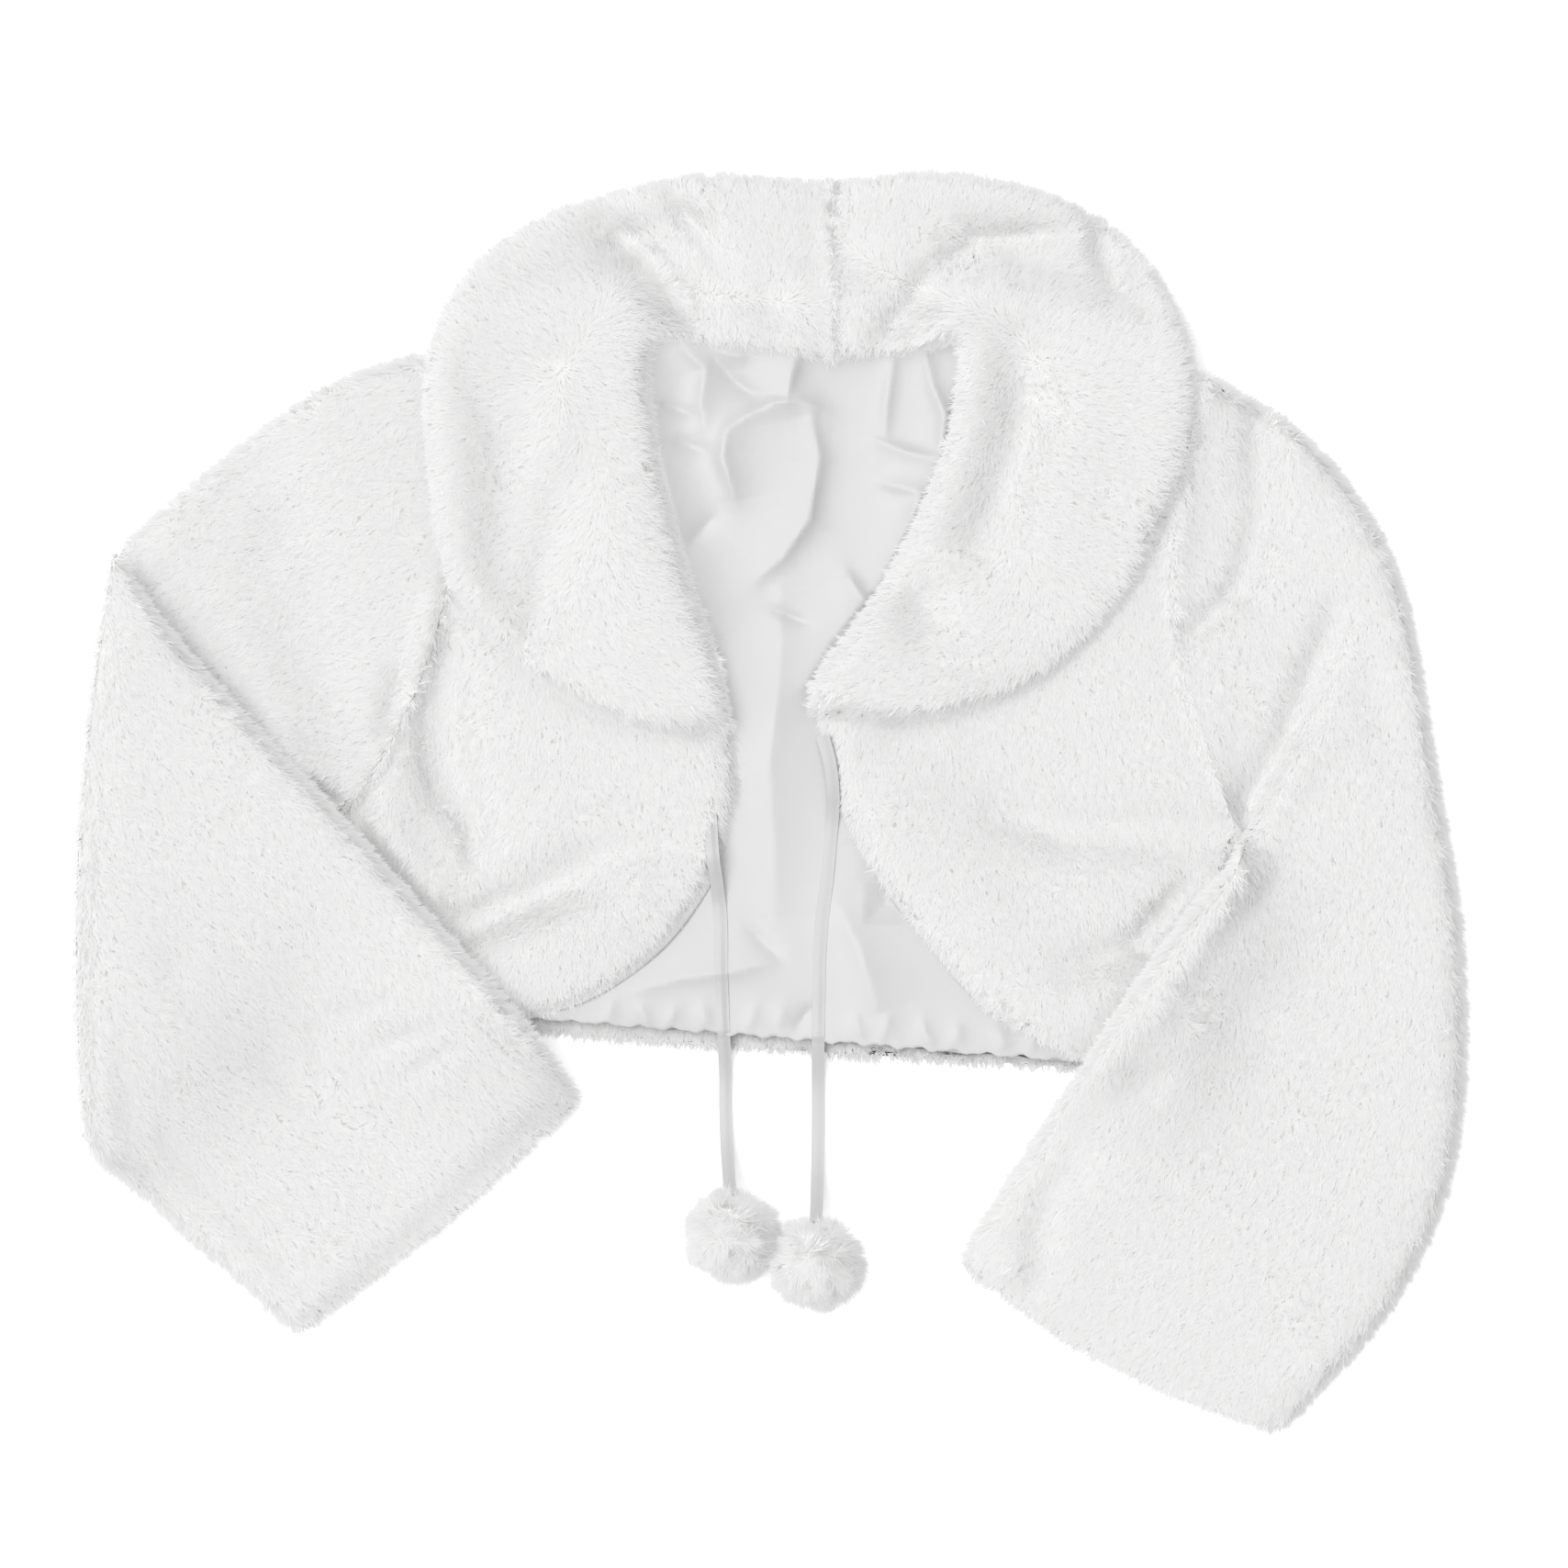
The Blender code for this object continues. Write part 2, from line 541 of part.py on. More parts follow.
def build_pompom(name, centre, tie_end):
    """A ball of fur locks: each facet of a round core is drawn out into a tapering lock."""
    ball = bmesh.new()
    bmesh.ops.create_icosphere(ball, subdivisions=2, radius=1.0)
    ball.faces.ensure_lookup_table()
    middle = Vector((centre.x, centre.y, POMPOM_RADII[2] + POMPOM_LIFT))
    towards_tie = (Vector(tie_end) - middle).normalized()
    turn = ball.faces[0].calc_center_median().normalized().rotation_difference(towards_tie)
    bmesh.ops.rotate(ball, verts=ball.verts, matrix=turn.to_matrix())
    facets = list(ball.faces)
    for vertex in ball.verts:
        vertex.co *= POMPOM_CORE
    bmesh.ops.inset_individual(ball, faces=facets, thickness=0.5 * POMPOM_CORE * (1.0 - LOCK_SPREAD),
                               use_even_offset=True)
    for number, facet in enumerate(facets):
        outwards = facet.calc_center_median().normalized()
        tip = bmesh.ops.extrude_discrete_faces(ball, faces=[facet])["faces"][0]
        reach = 1.0 - LOCK_UNEVENNESS * (0.5 - 0.5 * math.cos(LOCK_PHASE * number))
        tip_middle = tip.calc_center_median()
        for vertex in tip.verts:
            vertex.co = outwards * reach + (vertex.co - tip_middle) * LOCK_TAPER
    for vertex in ball.verts:
        stretched = Vector(size * value for size, value in zip(POMPOM_RADII, vertex.co))
        vertex.co = (middle + stretched) * MM
    bmesh.ops.recalc_face_normals(ball, faces=ball.faces)
    finish(name, ball, fur)


for old in list(bpy.data.objects):
    bpy.data.objects.remove(old)

GARMENT = bpy.data.objects.new("bolero", None)
GARMENT.location = Vector(ORIGIN_SHIFT) * MM
bpy.context.collection.objects.link(GARMENT)
BED = Bed()

LEFT_SIDE = side_of_body(LEFT_ARMHOLE, LEFT_HEM_CORNER, 0.5 * SEAM_GAP)
RIGHT_SIDE = side_of_body(RIGHT_ARMHOLE, RIGHT_HEM_CORNER, -0.5 * SEAM_GAP)
build_back(LEFT_SIDE, RIGHT_SIDE)
build_fronts(LEFT_SIDE, RIGHT_SIDE)
build_sleeves()
build_collar()
build_folded_stretch()
build_tie("left_tie", LEFT_TIE)
build_tie("right_tie", RIGHT_TIE)
build_pompom("left_pompom", LEFT_POMPOM_CENTRE, LEFT_TIE[-1])
build_pompom("right_pompom", RIGHT_POMPOM_CENTRE, RIGHT_TIE[-1])
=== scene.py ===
import math

import bmesh
import bpy
import numpy as np
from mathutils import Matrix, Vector
from mathutils.bvhtree import BVHTree
from mathutils.kdtree import KDTree


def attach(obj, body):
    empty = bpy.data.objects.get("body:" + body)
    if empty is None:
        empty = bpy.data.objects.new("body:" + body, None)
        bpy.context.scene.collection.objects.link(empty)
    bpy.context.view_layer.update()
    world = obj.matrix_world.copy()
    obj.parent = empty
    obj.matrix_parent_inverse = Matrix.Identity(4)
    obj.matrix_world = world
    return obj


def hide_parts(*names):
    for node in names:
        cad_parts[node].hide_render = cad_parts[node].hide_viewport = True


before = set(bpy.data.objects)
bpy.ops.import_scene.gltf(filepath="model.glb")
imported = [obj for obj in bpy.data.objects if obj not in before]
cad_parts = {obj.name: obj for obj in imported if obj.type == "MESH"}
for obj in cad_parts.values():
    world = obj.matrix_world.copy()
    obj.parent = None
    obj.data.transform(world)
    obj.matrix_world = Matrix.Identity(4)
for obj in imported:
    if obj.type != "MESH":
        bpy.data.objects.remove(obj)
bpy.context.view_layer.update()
MM = 0.001


# Back panel
# The back is one piece of short white plush cloth, a knitted ground with a dense pile, cut to the
# armholes and the hem. It lies face down under all else, so its pile shows only round the rim.

# Making cloth from the solids, in mm and as angles: welding, joining triangles, finding edges
WELD = 0.02
QUAD_ANGLE, SHARP_ANGLE = math.radians(70), math.radians(55)

# Seams in mm: where a sewn neighbour is looked for, how far cloth pushes up to it, and how wide,
# how high and how deep the cloth beside a seam is raised. No seam below the armpit is raised, and
# a gap that slopes more than this runs to what lies above or below.
SEAM_SEARCH, SEWN_PUSH = 1.2, 0.3
SEAM_REACH, SEAM_END, SEAM_RISE, SEAM_DEPTH, SEAM_SHARE = 11, 19, 6, 9, 0.85
ARMPIT = -5
SIDE_SLOPE = 0.6

# Rays that look for an upper side start at this height in mm, above the whole garment.
ABOVE_ALL = 200

# Pile in mm: how far cloth lies below its tips, how much thick cloth gives way under it, how deep
# its roots sit and the lowest that roots and tips may lie
PILE_SINK, BACK_SINK = 2.8, 2.0
GROUND_DROP, THICK_CLOTH, ROOT_DEPTH = 1.4, 5, 0.2
LOWEST_FOLD, LOWEST_TIP, LOWEST_FIBRE = 0.3, 0.3, 0.2


def linear(hex_colour):
    """Return the linear colour of an sRGB hex value."""
    parts = [int(hex_colour[i:i + 2], 16) / 255.0 for i in (1, 3, 5)]
    return tuple(p / 12.92 if p <= 0.04045 else ((p + 0.055) / 1.055) ** 2.4
                 for p in parts) + (1.0,)


def new_material(name):
    """Return an empty node material and its output node."""
    made = bpy.data.materials.new(name)
    made.use_nodes = True
    made.node_tree.nodes.clear()
    return made, made.node_tree.nodes.new("ShaderNodeOutputMaterial")


def add_node(material, kind, settings=None, links=None):
    """Add a node: lower-case settings are its own, others its sockets; links feed its sockets."""
    made = material.node_tree.nodes.new(kind)
    for name, value in (settings or {}).items():
        if isinstance(name, str) and name.islower():
            setattr(made, name, value)
        else:
            made.inputs[name].default_value = value
    for socket, source in (links or {}).items():
        material.node_tree.links.new(source, made.inputs[socket])
    return made


def make_active(piece):
    """Select one piece alone."""
    bpy.ops.object.select_all(action="DESELECT")
    piece.select_set(True)
    bpy.context.view_layer.objects.active = piece


def read_points(mesh):
    """Return a mesh's points and its point normals as arrays."""
    points = np.empty(len(mesh.vertices) * 3, np.float32)
    mesh.vertices.foreach_get("co", points)
    normals = np.empty(len(mesh.vertices) * 3, np.float32)
    mesh.vertex_normals.foreach_get("vector", normals)
    return points.reshape(-1, 3).astype(float), normals.reshape(-1, 3).astype(float)


def write_points(mesh, points):
    """Move a mesh's points."""
    mesh.vertices.foreach_set("co", points.astype(np.float32).ravel())
    mesh.update()


def read_triangles(mesh):
    """Return a mesh's triangles as an array of point numbers."""
    mesh.calc_loop_triangles()
    triangles = np.empty(len(mesh.loop_triangles) * 3, np.int32)
    mesh.loop_triangles.foreach_get("vertices", triangles)
    return triangles.reshape(-1, 3)


def unit(vectors):
    """Return vectors scaled to length one."""
    return vectors / np.maximum(np.linalg.norm(vectors, axis=-1, keepdims=True), 1e-12)


def tree_of(mesh):
    """Return a search tree of a mesh's faces."""
    points, _ = read_points(mesh)
    return BVHTree.FromPolygons([tuple(p) for p in points],
                                [tuple(t) for t in read_triangles(mesh)])


def others_tree(node, only_fur):
    """Return a search tree of all the CAD walls but one, or of the other fur walls alone."""
    corners, faces, count = [], [], 0
    for name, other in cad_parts.items():
        if name == node or only_fur and name.endswith(("lining", "tie")):
            continue
        points, _ = read_points(other.data)
        corners.append(points)
        faces.append(read_triangles(other.data) + count)
        count += len(points)
    return BVHTree.FromPolygons([tuple(p) for p in np.concatenate(corners)],
                                [tuple(t) for t in np.concatenate(faces)])


def beside_fur(node, points):
    """Return which points have the side of another fur wall right beside them."""
    fur_beside = others_tree(node, only_fur=True)
    sewn = np.zeros(len(points), bool)
    for i, point in enumerate(points):
        near = fur_beside.find_nearest(Vector(point), SEAM_SEARCH * MM)[0]
        if near is not None:
            gap = near - Vector(point)
            sewn[i] = abs(gap.z) < SIDE_SLOPE * gap.length
    return sewn


def cloth_from(node, name, levels, edge_hold=0.3):
    """Return a copy of a CAD wall as a soft cloth form, with its facets smoothed out. A side that
    is sewn to other fur stays square, so that the two meet."""
    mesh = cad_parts[node].data.copy()
    mesh.name = name
    mesh.materials.clear()
    cloth = bpy.data.objects.new(name, mesh)
    bpy.context.collection.objects.link(cloth)
    make_active(cloth)
    bpy.ops.mesh.customdata_custom_splitnormals_clear()
    bpy.ops.object.mode_set(mode="EDIT")
    bpy.ops.mesh.select_all(action="SELECT")
    bpy.ops.mesh.remove_doubles(threshold=WELD * MM)
    bpy.ops.mesh.tris_convert_to_quads(face_threshold=QUAD_ANGLE, shape_threshold=QUAD_ANGLE)
    bpy.ops.mesh.select_all(action="DESELECT")
    bpy.ops.mesh.edges_select_sharp(sharpness=SHARP_ANGLE)
    bpy.ops.transform.edge_crease(value=edge_hold)
    bpy.ops.object.mode_set(mode="OBJECT")
    if not node.endswith("lining"):
        points, _ = read_points(mesh)
        sewn = beside_fur(node, points)
        hold = mesh.attributes.get("crease_edge") or mesh.attributes.new(
            "crease_edge", "FLOAT", "EDGE")
        for edge in mesh.edges:
            if sewn[edge.vertices[0]] and sewn[edge.vertices[1]]:
                hold.data[edge.index].value = 1.0
    rounding = cloth.modifiers.new("rounding", "SUBSURF")
    rounding.levels = rounding.render_levels = levels
    bpy.ops.object.modifier_apply(modifier="rounding")
    bpy.ops.object.shade_smooth()
    return cloth


def soft_fold(points, fold):
    """Return a fold's height at points in mm: a soft trough or ridge that fades out at its ends."""
    x0, y0, x1, y1, start_width, end_width, height = fold
    along = np.array([x1 - x0, y1 - y0], float)
    length = np.linalg.norm(along)
    along /= length
    gap = points[:, :2] - (x0, y0)
    run = gap @ along
    aside = gap @ np.array([-along[1], along[0]])
    share = np.clip(run / length, 0.0, 1.0)
    width = start_width + (end_width - start_width) * share
    beyond = np.maximum(np.maximum(-run, run - length), 0.0)
    swell = 0.55 + 0.45 * np.sin(np.pi * share)
    return height * swell * np.exp(-(aside ** 2 + 1.6 * beyond ** 2) / width ** 2)


def room_under(mesh):
    """Return how thick a cloth form is under each of its upper points."""
    points, normals = read_points(mesh)
    tree = tree_of(mesh)
    room = np.full(len(points), 4 * MM)
    for i in np.nonzero(normals[:, 2] > 0.15)[0]:
        hit = tree.ray_cast(Vector(points[i]) - Vector((0, 0, 0.05 * MM)), Vector((0, 0, -1)))
        if hit[0] is not None:
            room[i] = hit[3]
    return room


def sink(cloth, node, pile):
    """Lower a cloth form by its pile's height. A side that is sewn to other fur closes up to it."""
    mesh = cloth.data
    fur_beside = others_tree(node, only_fur=True)
    points, normals = read_points(mesh)
    outward = normals.copy()
    outward[:, 2] = np.maximum(outward[:, 2], 0.0)
    for i in np.nonzero(np.hypot(normals[:, 0], normals[:, 1]) > 0.25)[0]:
        way = Vector((normals[i, 0], normals[i, 1], 0.0)).normalized()
        start = Vector(points[i]) - way * 0.5 * MM - Vector((0, 0, 1.5 * MM))
        if fur_beside.ray_cast(start, way, 3.5 * MM)[0] is not None:
            outward[i] = np.array((way.x, way.y, 0.0)) * -SEWN_PUSH / pile
    moved = points - outward * pile * MM
    lowest = points[:, 2] - 0.6 * room_under(mesh)
    moved[:, 2] = np.where(normals[:, 2] > 0.15, np.maximum(moved[:, 2], lowest), moved[:, 2])
    write_points(mesh, moved)


def level_top(cloth, reach, share):
    """Draw a cloth form's upper side level over a reach in mm, but leave its edges round."""
    points, normals = read_points(cloth.data)
    rim = points[np.abs(normals[:, 2]) < 0.35]
    near_rim = KDTree(len(rim))
    for i, (x, y, _) in enumerate(rim):
        near_rim.insert((x, y, 0.0), i)
    near_rim.balance()
    own = tree_of(cloth.data)
    sky = Vector((0, 0, 1))
    upper = np.array([i for i in np.nonzero(normals[:, 2] > 0.35)[0]
                      if own.ray_cast(Vector(points[i]) + sky * 0.1 * MM, sky)[0] is None])
    edge = np.array([near_rim.find((points[i, 0], points[i, 1], 0.0))[2] for i in upper])
    inner = points[upper[edge > 9 * MM]]
    hold = np.clip((edge - 5 * MM) / (15 * MM), 0.0, 1.0)
    hold = hold * hold * (3 - 2 * hold) * share
    for part in np.array_split(np.arange(len(upper)), 12):
        here = points[upper[part]]
        gap = ((here[:, None, :2] - inner[None, :, :2]) ** 2).sum(2)
        weight = np.exp(-gap / (reach * MM) ** 2) + 1e-12
        mean = (weight * inner[None, :, 2]).sum(1) / weight.sum(1)
        points[upper[part], 2] += (mean - here[:, 2]) * hold[part]
    write_points(cloth.data, points)


def lift_seams(cloth, node):
    """Raise a cloth form along its armhole or centre seam, so that the seam lies almost level."""
    points, normals = read_points(cloth.data)
    rim = points[(np.abs(normals[:, 2]) < 0.8) & (points[:, 1] > ARMPIT * MM)]
    rim = rim[beside_fur(node, rim)]
    near_seam = KDTree(len(rim))
    for i, (x, y, _) in enumerate(rim):
        near_seam.insert((x, y, 0.0), i)
    near_seam.balance()
    away = np.array([near_seam.find((x, y, 0.0))[2] or 0.0 for x, y, _ in points])
    own = tree_of(cloth.data)
    top = points[:, 2].copy()
    for i, (x, y, _) in enumerate(points):
        hit = own.ray_cast(Vector((x, y, ABOVE_ALL * MM)), Vector((0, 0, -1)))[0]
        if hit is not None:
            top[i] = hit.z
    reach = SEAM_REACH * MM
    on_top = top - points[:, 2] < 0.2 * MM
    level = points[(away > reach) & (away < SEAM_END * MM) & on_top]
    for i in np.nonzero(away < reach)[0]:
        weight = np.exp(-((level[:, :2] - points[i, :2]) ** 2).sum(1) / reach ** 2) + 1e-9
        rise = (weight * level[:, 2]).sum() / weight.sum() - top[i]
        rise = np.clip(rise, 0.0, SEAM_RISE * MM)
        share = 1 - away[i] / reach
        share = share * share * (3 - 2 * share) * SEAM_SHARE
        depth = (top[i] - points[i, 2]) / (SEAM_DEPTH * MM)
        points[i, 2] += rise * share * np.clip(1 - depth, 0.0, 1.0)
    write_points(cloth.data, points)


def press_folds(points, facing, room, folds):
    """Press folds into points, but not through their cloth, and turn the way they face."""
    def height(place):
        return sum(soft_fold(place / MM, fold) for fold in folds) * MM

    if not folds:
        return points, facing
    step = 0.5 * MM
    rise = height(points)
    hold = np.clip(facing[:, 2] * 1.6, 0.0, 1.0)
    hold *= np.minimum(1.0, 0.85 * room / np.maximum(-rise, 1e-9))
    slope_x = (height(points + (step, 0, 0)) - height(points - (step, 0, 0))) / (2 * step)
    slope_y = (height(points + (0, step, 0)) - height(points - (0, step, 0))) / (2 * step)
    slope = np.column_stack([slope_x, slope_y, np.zeros(len(points))])
    pressed = points + np.outer(rise * hold, (0, 0, 1))
    pressed[:, 2] = np.maximum(pressed[:, 2], LOWEST_FOLD * MM)
    return pressed, unit(facing - slope * hold[:, None])


def ripples(points, wavelength, seed, waves=10):
    """Return a smooth uneven value at each point, about -1 to 1, with humps wavelength apart."""
    rng = np.random.default_rng(seed)
    way = unit(rng.normal(size=(waves, 3)))
    way *= 2 * np.pi / (wavelength * rng.uniform(0.7, 1.4, size=(waves, 1)))
    return np.cos(points @ way.T + rng.uniform(0, 2 * np.pi, waves)).sum(1) / waves ** 0.5


def mesh_piece(name, points, triangles, material, normals=None):
    """Return a piece made from arrays of points and triangles."""
    mesh = bpy.data.meshes.new(name)
    mesh.vertices.add(len(points))
    mesh.vertices.foreach_set("co", points.astype(np.float32).ravel())
    mesh.loops.add(len(triangles) * 3)
    mesh.loops.foreach_set("vertex_index", triangles.astype(np.int32).ravel())
    mesh.polygons.add(len(triangles))
    mesh.polygons.foreach_set("loop_start", np.arange(0, len(triangles) * 3, 3, dtype=np.int32))
    mesh.update(calc_edges=True)
    mesh.polygons.foreach_set("use_smooth", np.ones(len(triangles), bool))
    if normals is not None:
        mesh.normals_split_custom_set_from_vertices(normals.astype(np.float32))
    mesh.materials.append(material)
    piece = bpy.data.objects.new(name, mesh)
    bpy.context.collection.objects.link(piece)
    return piece


def add_values(mesh, name, values):
    """Keep one number for each point, for the material to read."""
    kept = mesh.attributes.new(name, "FLOAT", "POINT")
    kept.data.foreach_set("value", values.astype(np.float32))


def nap_at(points, nap):
    """Return which way the pile lies at points, from a few stated directions."""
    table = np.array(nap, float)
    gap = points[:, None, :2] / MM - table[None, :, :2]
    weight = 1.0 / ((gap ** 2).sum(2) + 600.0)
    way = (weight[:, :, None] * table[None, :, 2:]).sum(1)
    return unit(np.column_stack([way, np.zeros(len(points))]))


def is_open(roots, facing, node, cloth):
    """Return which roots have nothing close above them, of their own cloth or of other pieces.
    Under the rim of another piece the pile runs on for 3 mm."""
    around = others_tree(node, only_fur=False)
    own = tree_of(cloth.data)
    kept = facing[:, 2] > -0.25
    reach, rim = 6.6 * MM, 3 * MM
    for i in np.nonzero(kept)[0]:
        way = Vector(facing[i])
        start = Vector(roots[i]) + way * 0.4 * MM
        if own.ray_cast(start, way, 3 * MM)[0] is not None:
            kept[i] = False
        elif around.ray_cast(start, way, reach)[0] is not None:
            kept[i] = facing[i, 2] > 0.3 and any(
                around.ray_cast(start + Vector((x, y, 0)), way, reach)[0] is None
                for x, y in ((rim, 0), (-rim, 0), (0, rim), (0, -rim)))
    return kept


def grow_pile(cloth, node, names, nap, seed, folds=(), spacing=0.80, length=6.4, lean=1.12,
              lock=3.6, width=0.95, stray=0.30, tone_and_shade=0.9):
    """Grow plush on a cloth form: flat tapering fibres that lie over, drawn into small locks.
    The folds are pressed into the cloth and its pile alike."""
    rng = np.random.default_rng(seed)
    points, normals = read_points(cloth.data)
    triangles = read_triangles(cloth.data)
    a, b, c = (points[triangles[:, i]] for i in range(3))
    area = 0.5 * np.linalg.norm(np.cross(b - a, c - a), axis=1)
    tilt = np.cross(b - a, c - a)[:, 2] / (2 * area + 1e-15)
    crowd = 1.0 + 0.8 * np.clip((0.75 - np.abs(tilt)) / 0.5, 0.0, 1.0)
    count = np.floor(area * crowd / (spacing * MM) ** 2 + rng.random(len(area))).astype(int)
    owner = np.repeat(np.arange(len(area)), count)
    u, v = rng.random((2, len(owner)))
    u, v = np.where(u + v > 1, 1 - u, u), np.where(u + v > 1, 1 - v, v)
    share = np.stack([1 - u - v, u, v], axis=1)[:, :, None]
    root = (points[triangles[owner]] * share).sum(1)
    up = unit((normals[triangles[owner]] * share).sum(1))
    thickness = room_under(cloth.data)
    room = (thickness[triangles[owner]] * share[:, :, 0]).sum(1)
    shown = is_open(root, up, node, cloth)
    root, up = press_folds(root[shown], up[shown], room[shown], folds)
    ground = press_folds(points, normals, thickness, folds)[0]
    upward = np.clip(normals[:, 2], 0.0, 1.0)
    ground[:, 2] -= GROUND_DROP * MM * upward * (thickness > THICK_CLOTH * MM)
    write_points(cloth.data, ground)

    warp = np.column_stack([ripples(root, 3.0 * lock * MM, seed + k) for k in range(3)])
    cell = np.floor((root + warp * 0.45 * lock * MM) / (lock * MM)).astype(np.int64)
    _, tuft = np.unique(cell @ np.array([1, 40009, 1600720081]), return_inverse=True)
    tufts = tuft.max() + 1
    members = np.bincount(tuft, minlength=tufts)[:, None]
    centre = np.stack([np.bincount(tuft, root[:, k], tufts) for k in range(3)], axis=1) / members

    ruffled = np.clip(ripples(root, 60 * MM, seed + 7) - 0.7, 0.0, 0.8)
    way = nap_at(root, nap) + (stray + ruffled)[:, None] * rng.normal(size=(tufts, 3))[tuft]
    way += 0.30 * rng.normal(size=root.shape)
    way -= up * (way * up).sum(1)[:, None]
    way = unit(way)
    slope = lean + (0.05 + 0.3 * ruffled) * rng.normal(size=tufts)[tuft]
    slope += 0.08 * rng.normal(size=len(root))
    slope -= 0.45 * np.clip(0.8 - up[:, 2], 0.0, 1.0)
    slope = np.clip(slope, 0.25, 1.38)[:, None]
    reach = length * MM * (1.0 + 0.10 * rng.normal(size=tufts)[tuft]
                           + 0.14 * rng.normal(size=len(root)))[:, None]
    tip = root + (up * np.cos(slope) + way * np.sin(slope)) * np.clip(
        reach, 0.5 * length * MM, 1.45 * length * MM)
    tip += (centre[tuft] - root) * 0.45
    tip[:, 2] = np.maximum(tip[:, 2], LOWEST_TIP * MM)

    lie = unit(tip - root)
    flat_up = unit(up + np.outer(1.8 * np.clip(0.8 - up[:, 2], 0.0, 1.2), (0, 0, 1)))
    side = unit(np.cross(lie, flat_up))
    roll = (0.16 * rng.normal(size=len(root)))[:, None]
    side = side * np.cos(roll) + np.cross(lie, side) * np.sin(roll)
    side = np.where(np.cross(side, lie)[:, 2:] < 0, -side, side)
    half = side * (0.5 * width * MM * rng.uniform(0.75, 1.25, len(root)))[:, None]
    foot = up * ROOT_DEPTH * MM
    fibre = np.stack([root + half - foot, tip, root - half - foot], axis=1)
    fibre[:, :, 2] = np.maximum(fibre[:, :, 2], LOWEST_FIBRE * MM)
    shading = unit(0.9 * flat_up + 0.1 * np.cross(side, lie))
    shading = np.repeat(shading[:, None, :], 3, 1)
    along = np.tile([0.0, 1.0, 0.0], (len(root), 1))
    # A low given tone paints the pile darker as shade; each tuft and fibre then differs a little at
    # random.
    tone_and_shade = tone_and_shade + 0.06 * rng.random(tufts)[tuft] + 0.04 * rng.random(len(root))
    tone_and_shade = np.repeat(tone_and_shade[:, None], 3, 1)

    pieces = []
    for name, chosen in zip(names, np.array_split(np.argsort(root[:, 1]), len(names))):
        piece = mesh_piece(name, fibre[chosen].reshape(-1, 3),
                           np.arange(len(chosen) * 3).reshape(-1, 3), white_plush,
                           shading[chosen].reshape(-1, 3))
        add_values(piece.data, "along", along[chosen].ravel())
        add_values(piece.data, "tone_and_shade", tone_and_shade[chosen].ravel())
        facing = piece.data.attributes.new("facing", "FLOAT_VECTOR", "POINT")
        facing.data.foreach_set("vector", shading[chosen].astype(np.float32).ravel())
        # White fibres pass the light on instead of shading each other.
        piece.visible_shadow = False
        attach(piece, "root")
        pieces.append(piece)
    return pieces


# Acrylic plush: matt white fibres. The roots are painted a little darker as shade, and tufts differ
# a little in tone at random, so a lit side looks smooth and a turned edge looks feathery. A pile
# given a low tone is painted darker all over, as shade. A fibre is so thin that both its faces take
# the light as the cloth does, which the "facing" values give.
white_plush, output = new_material("acrylic_plush_pile")
along_strand = add_node(white_plush, "ShaderNodeAttribute", {"attribute_name": "along"})
tuft_tone_and_shade = add_node(white_plush, "ShaderNodeAttribute", {"attribute_name": "tone_and_shade"})
# Each fibre is painted darker at its root than at its tip, as shade at the roots.
root_to_tip = add_node(white_plush, "ShaderNodeMix", {
    "data_type": "RGBA", 6: linear("#EEEEED"), 7: linear("#F3F3F3")},
    {0: along_strand.outputs["Fac"]})
# Low tone values paint a fibre darker as shade; above that, the tone differs at random.
toned_and_shaded = add_node(white_plush, "ShaderNodeMapRange", {"To Min": 0.8, "To Max": 1.0},
                 {"Value": tuft_tone_and_shade.outputs["Fac"]})
fibre = add_node(white_plush, "ShaderNodeMix", {
    "data_type": "RGBA", "blend_type": "MULTIPLY", 0: 1.0},
    {6: root_to_tip.outputs[2], 7: toned_and_shaded.outputs["Result"]})
lit_like_cloth = add_node(white_plush, "ShaderNodeAttribute", {"attribute_name": "facing"})
plush_shader = add_node(white_plush, "ShaderNodeBsdfPrincipled", {
    "Roughness": 0.9, "Specular IOR Level": 0.15},
    {"Base Color": fibre.outputs[2], "Normal": lit_like_cloth.outputs["Vector"]})
white_plush.node_tree.links.new(plush_shader.outputs[0], output.inputs["Surface"])
# The facing isn't a bump, so it isn't darkened as one.
white_plush.cycles.use_bump_map_correction = False

# Knitted ground of the plush: a soft white surface under the pile, pitted where the tufts come
# through, and painted darker in the pits as shade. The tufts are 1.2 mm apart, which just shows.
plush_ground, output = new_material("acrylic_plush_ground")
place = add_node(plush_ground, "ShaderNodeTexCoord")
tuft_pits = add_node(plush_ground, "ShaderNodeTexVoronoi", {"Scale": 1.0 / (1.2 * MM)},
                     {"Vector": place.outputs["Object"]})
# The ground is painted darker towards the middle of each pit, as shade in the pit.
ground_tone_and_pit_shade = add_node(plush_ground, "ShaderNodeMix", {
    "data_type": "RGBA", 6: linear("#E2E2E1"), 7: linear("#E8E8E8")},
    {0: tuft_pits.outputs["Distance"]})
pits = add_node(plush_ground, "ShaderNodeBump", {"Strength": 0.5, "Distance": 0.0006},
                {"Height": tuft_pits.outputs["Distance"]})
ground_shader = add_node(plush_ground, "ShaderNodeBsdfPrincipled", {
    "Roughness": 0.95, "Specular IOR Level": 0.1},
    {"Base Color": ground_tone_and_pit_shade.outputs[2], "Normal": pits.outputs["Normal"]})
plush_ground.node_tree.links.new(ground_shader.outputs[0], output.inputs["Surface"])

back = cloth_from("back_panel", "back_panel_cloth", 1)
sink(back, "back_panel", BACK_SINK)
back.data.materials.append(plush_ground)
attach(back, "root")
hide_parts("back_panel")
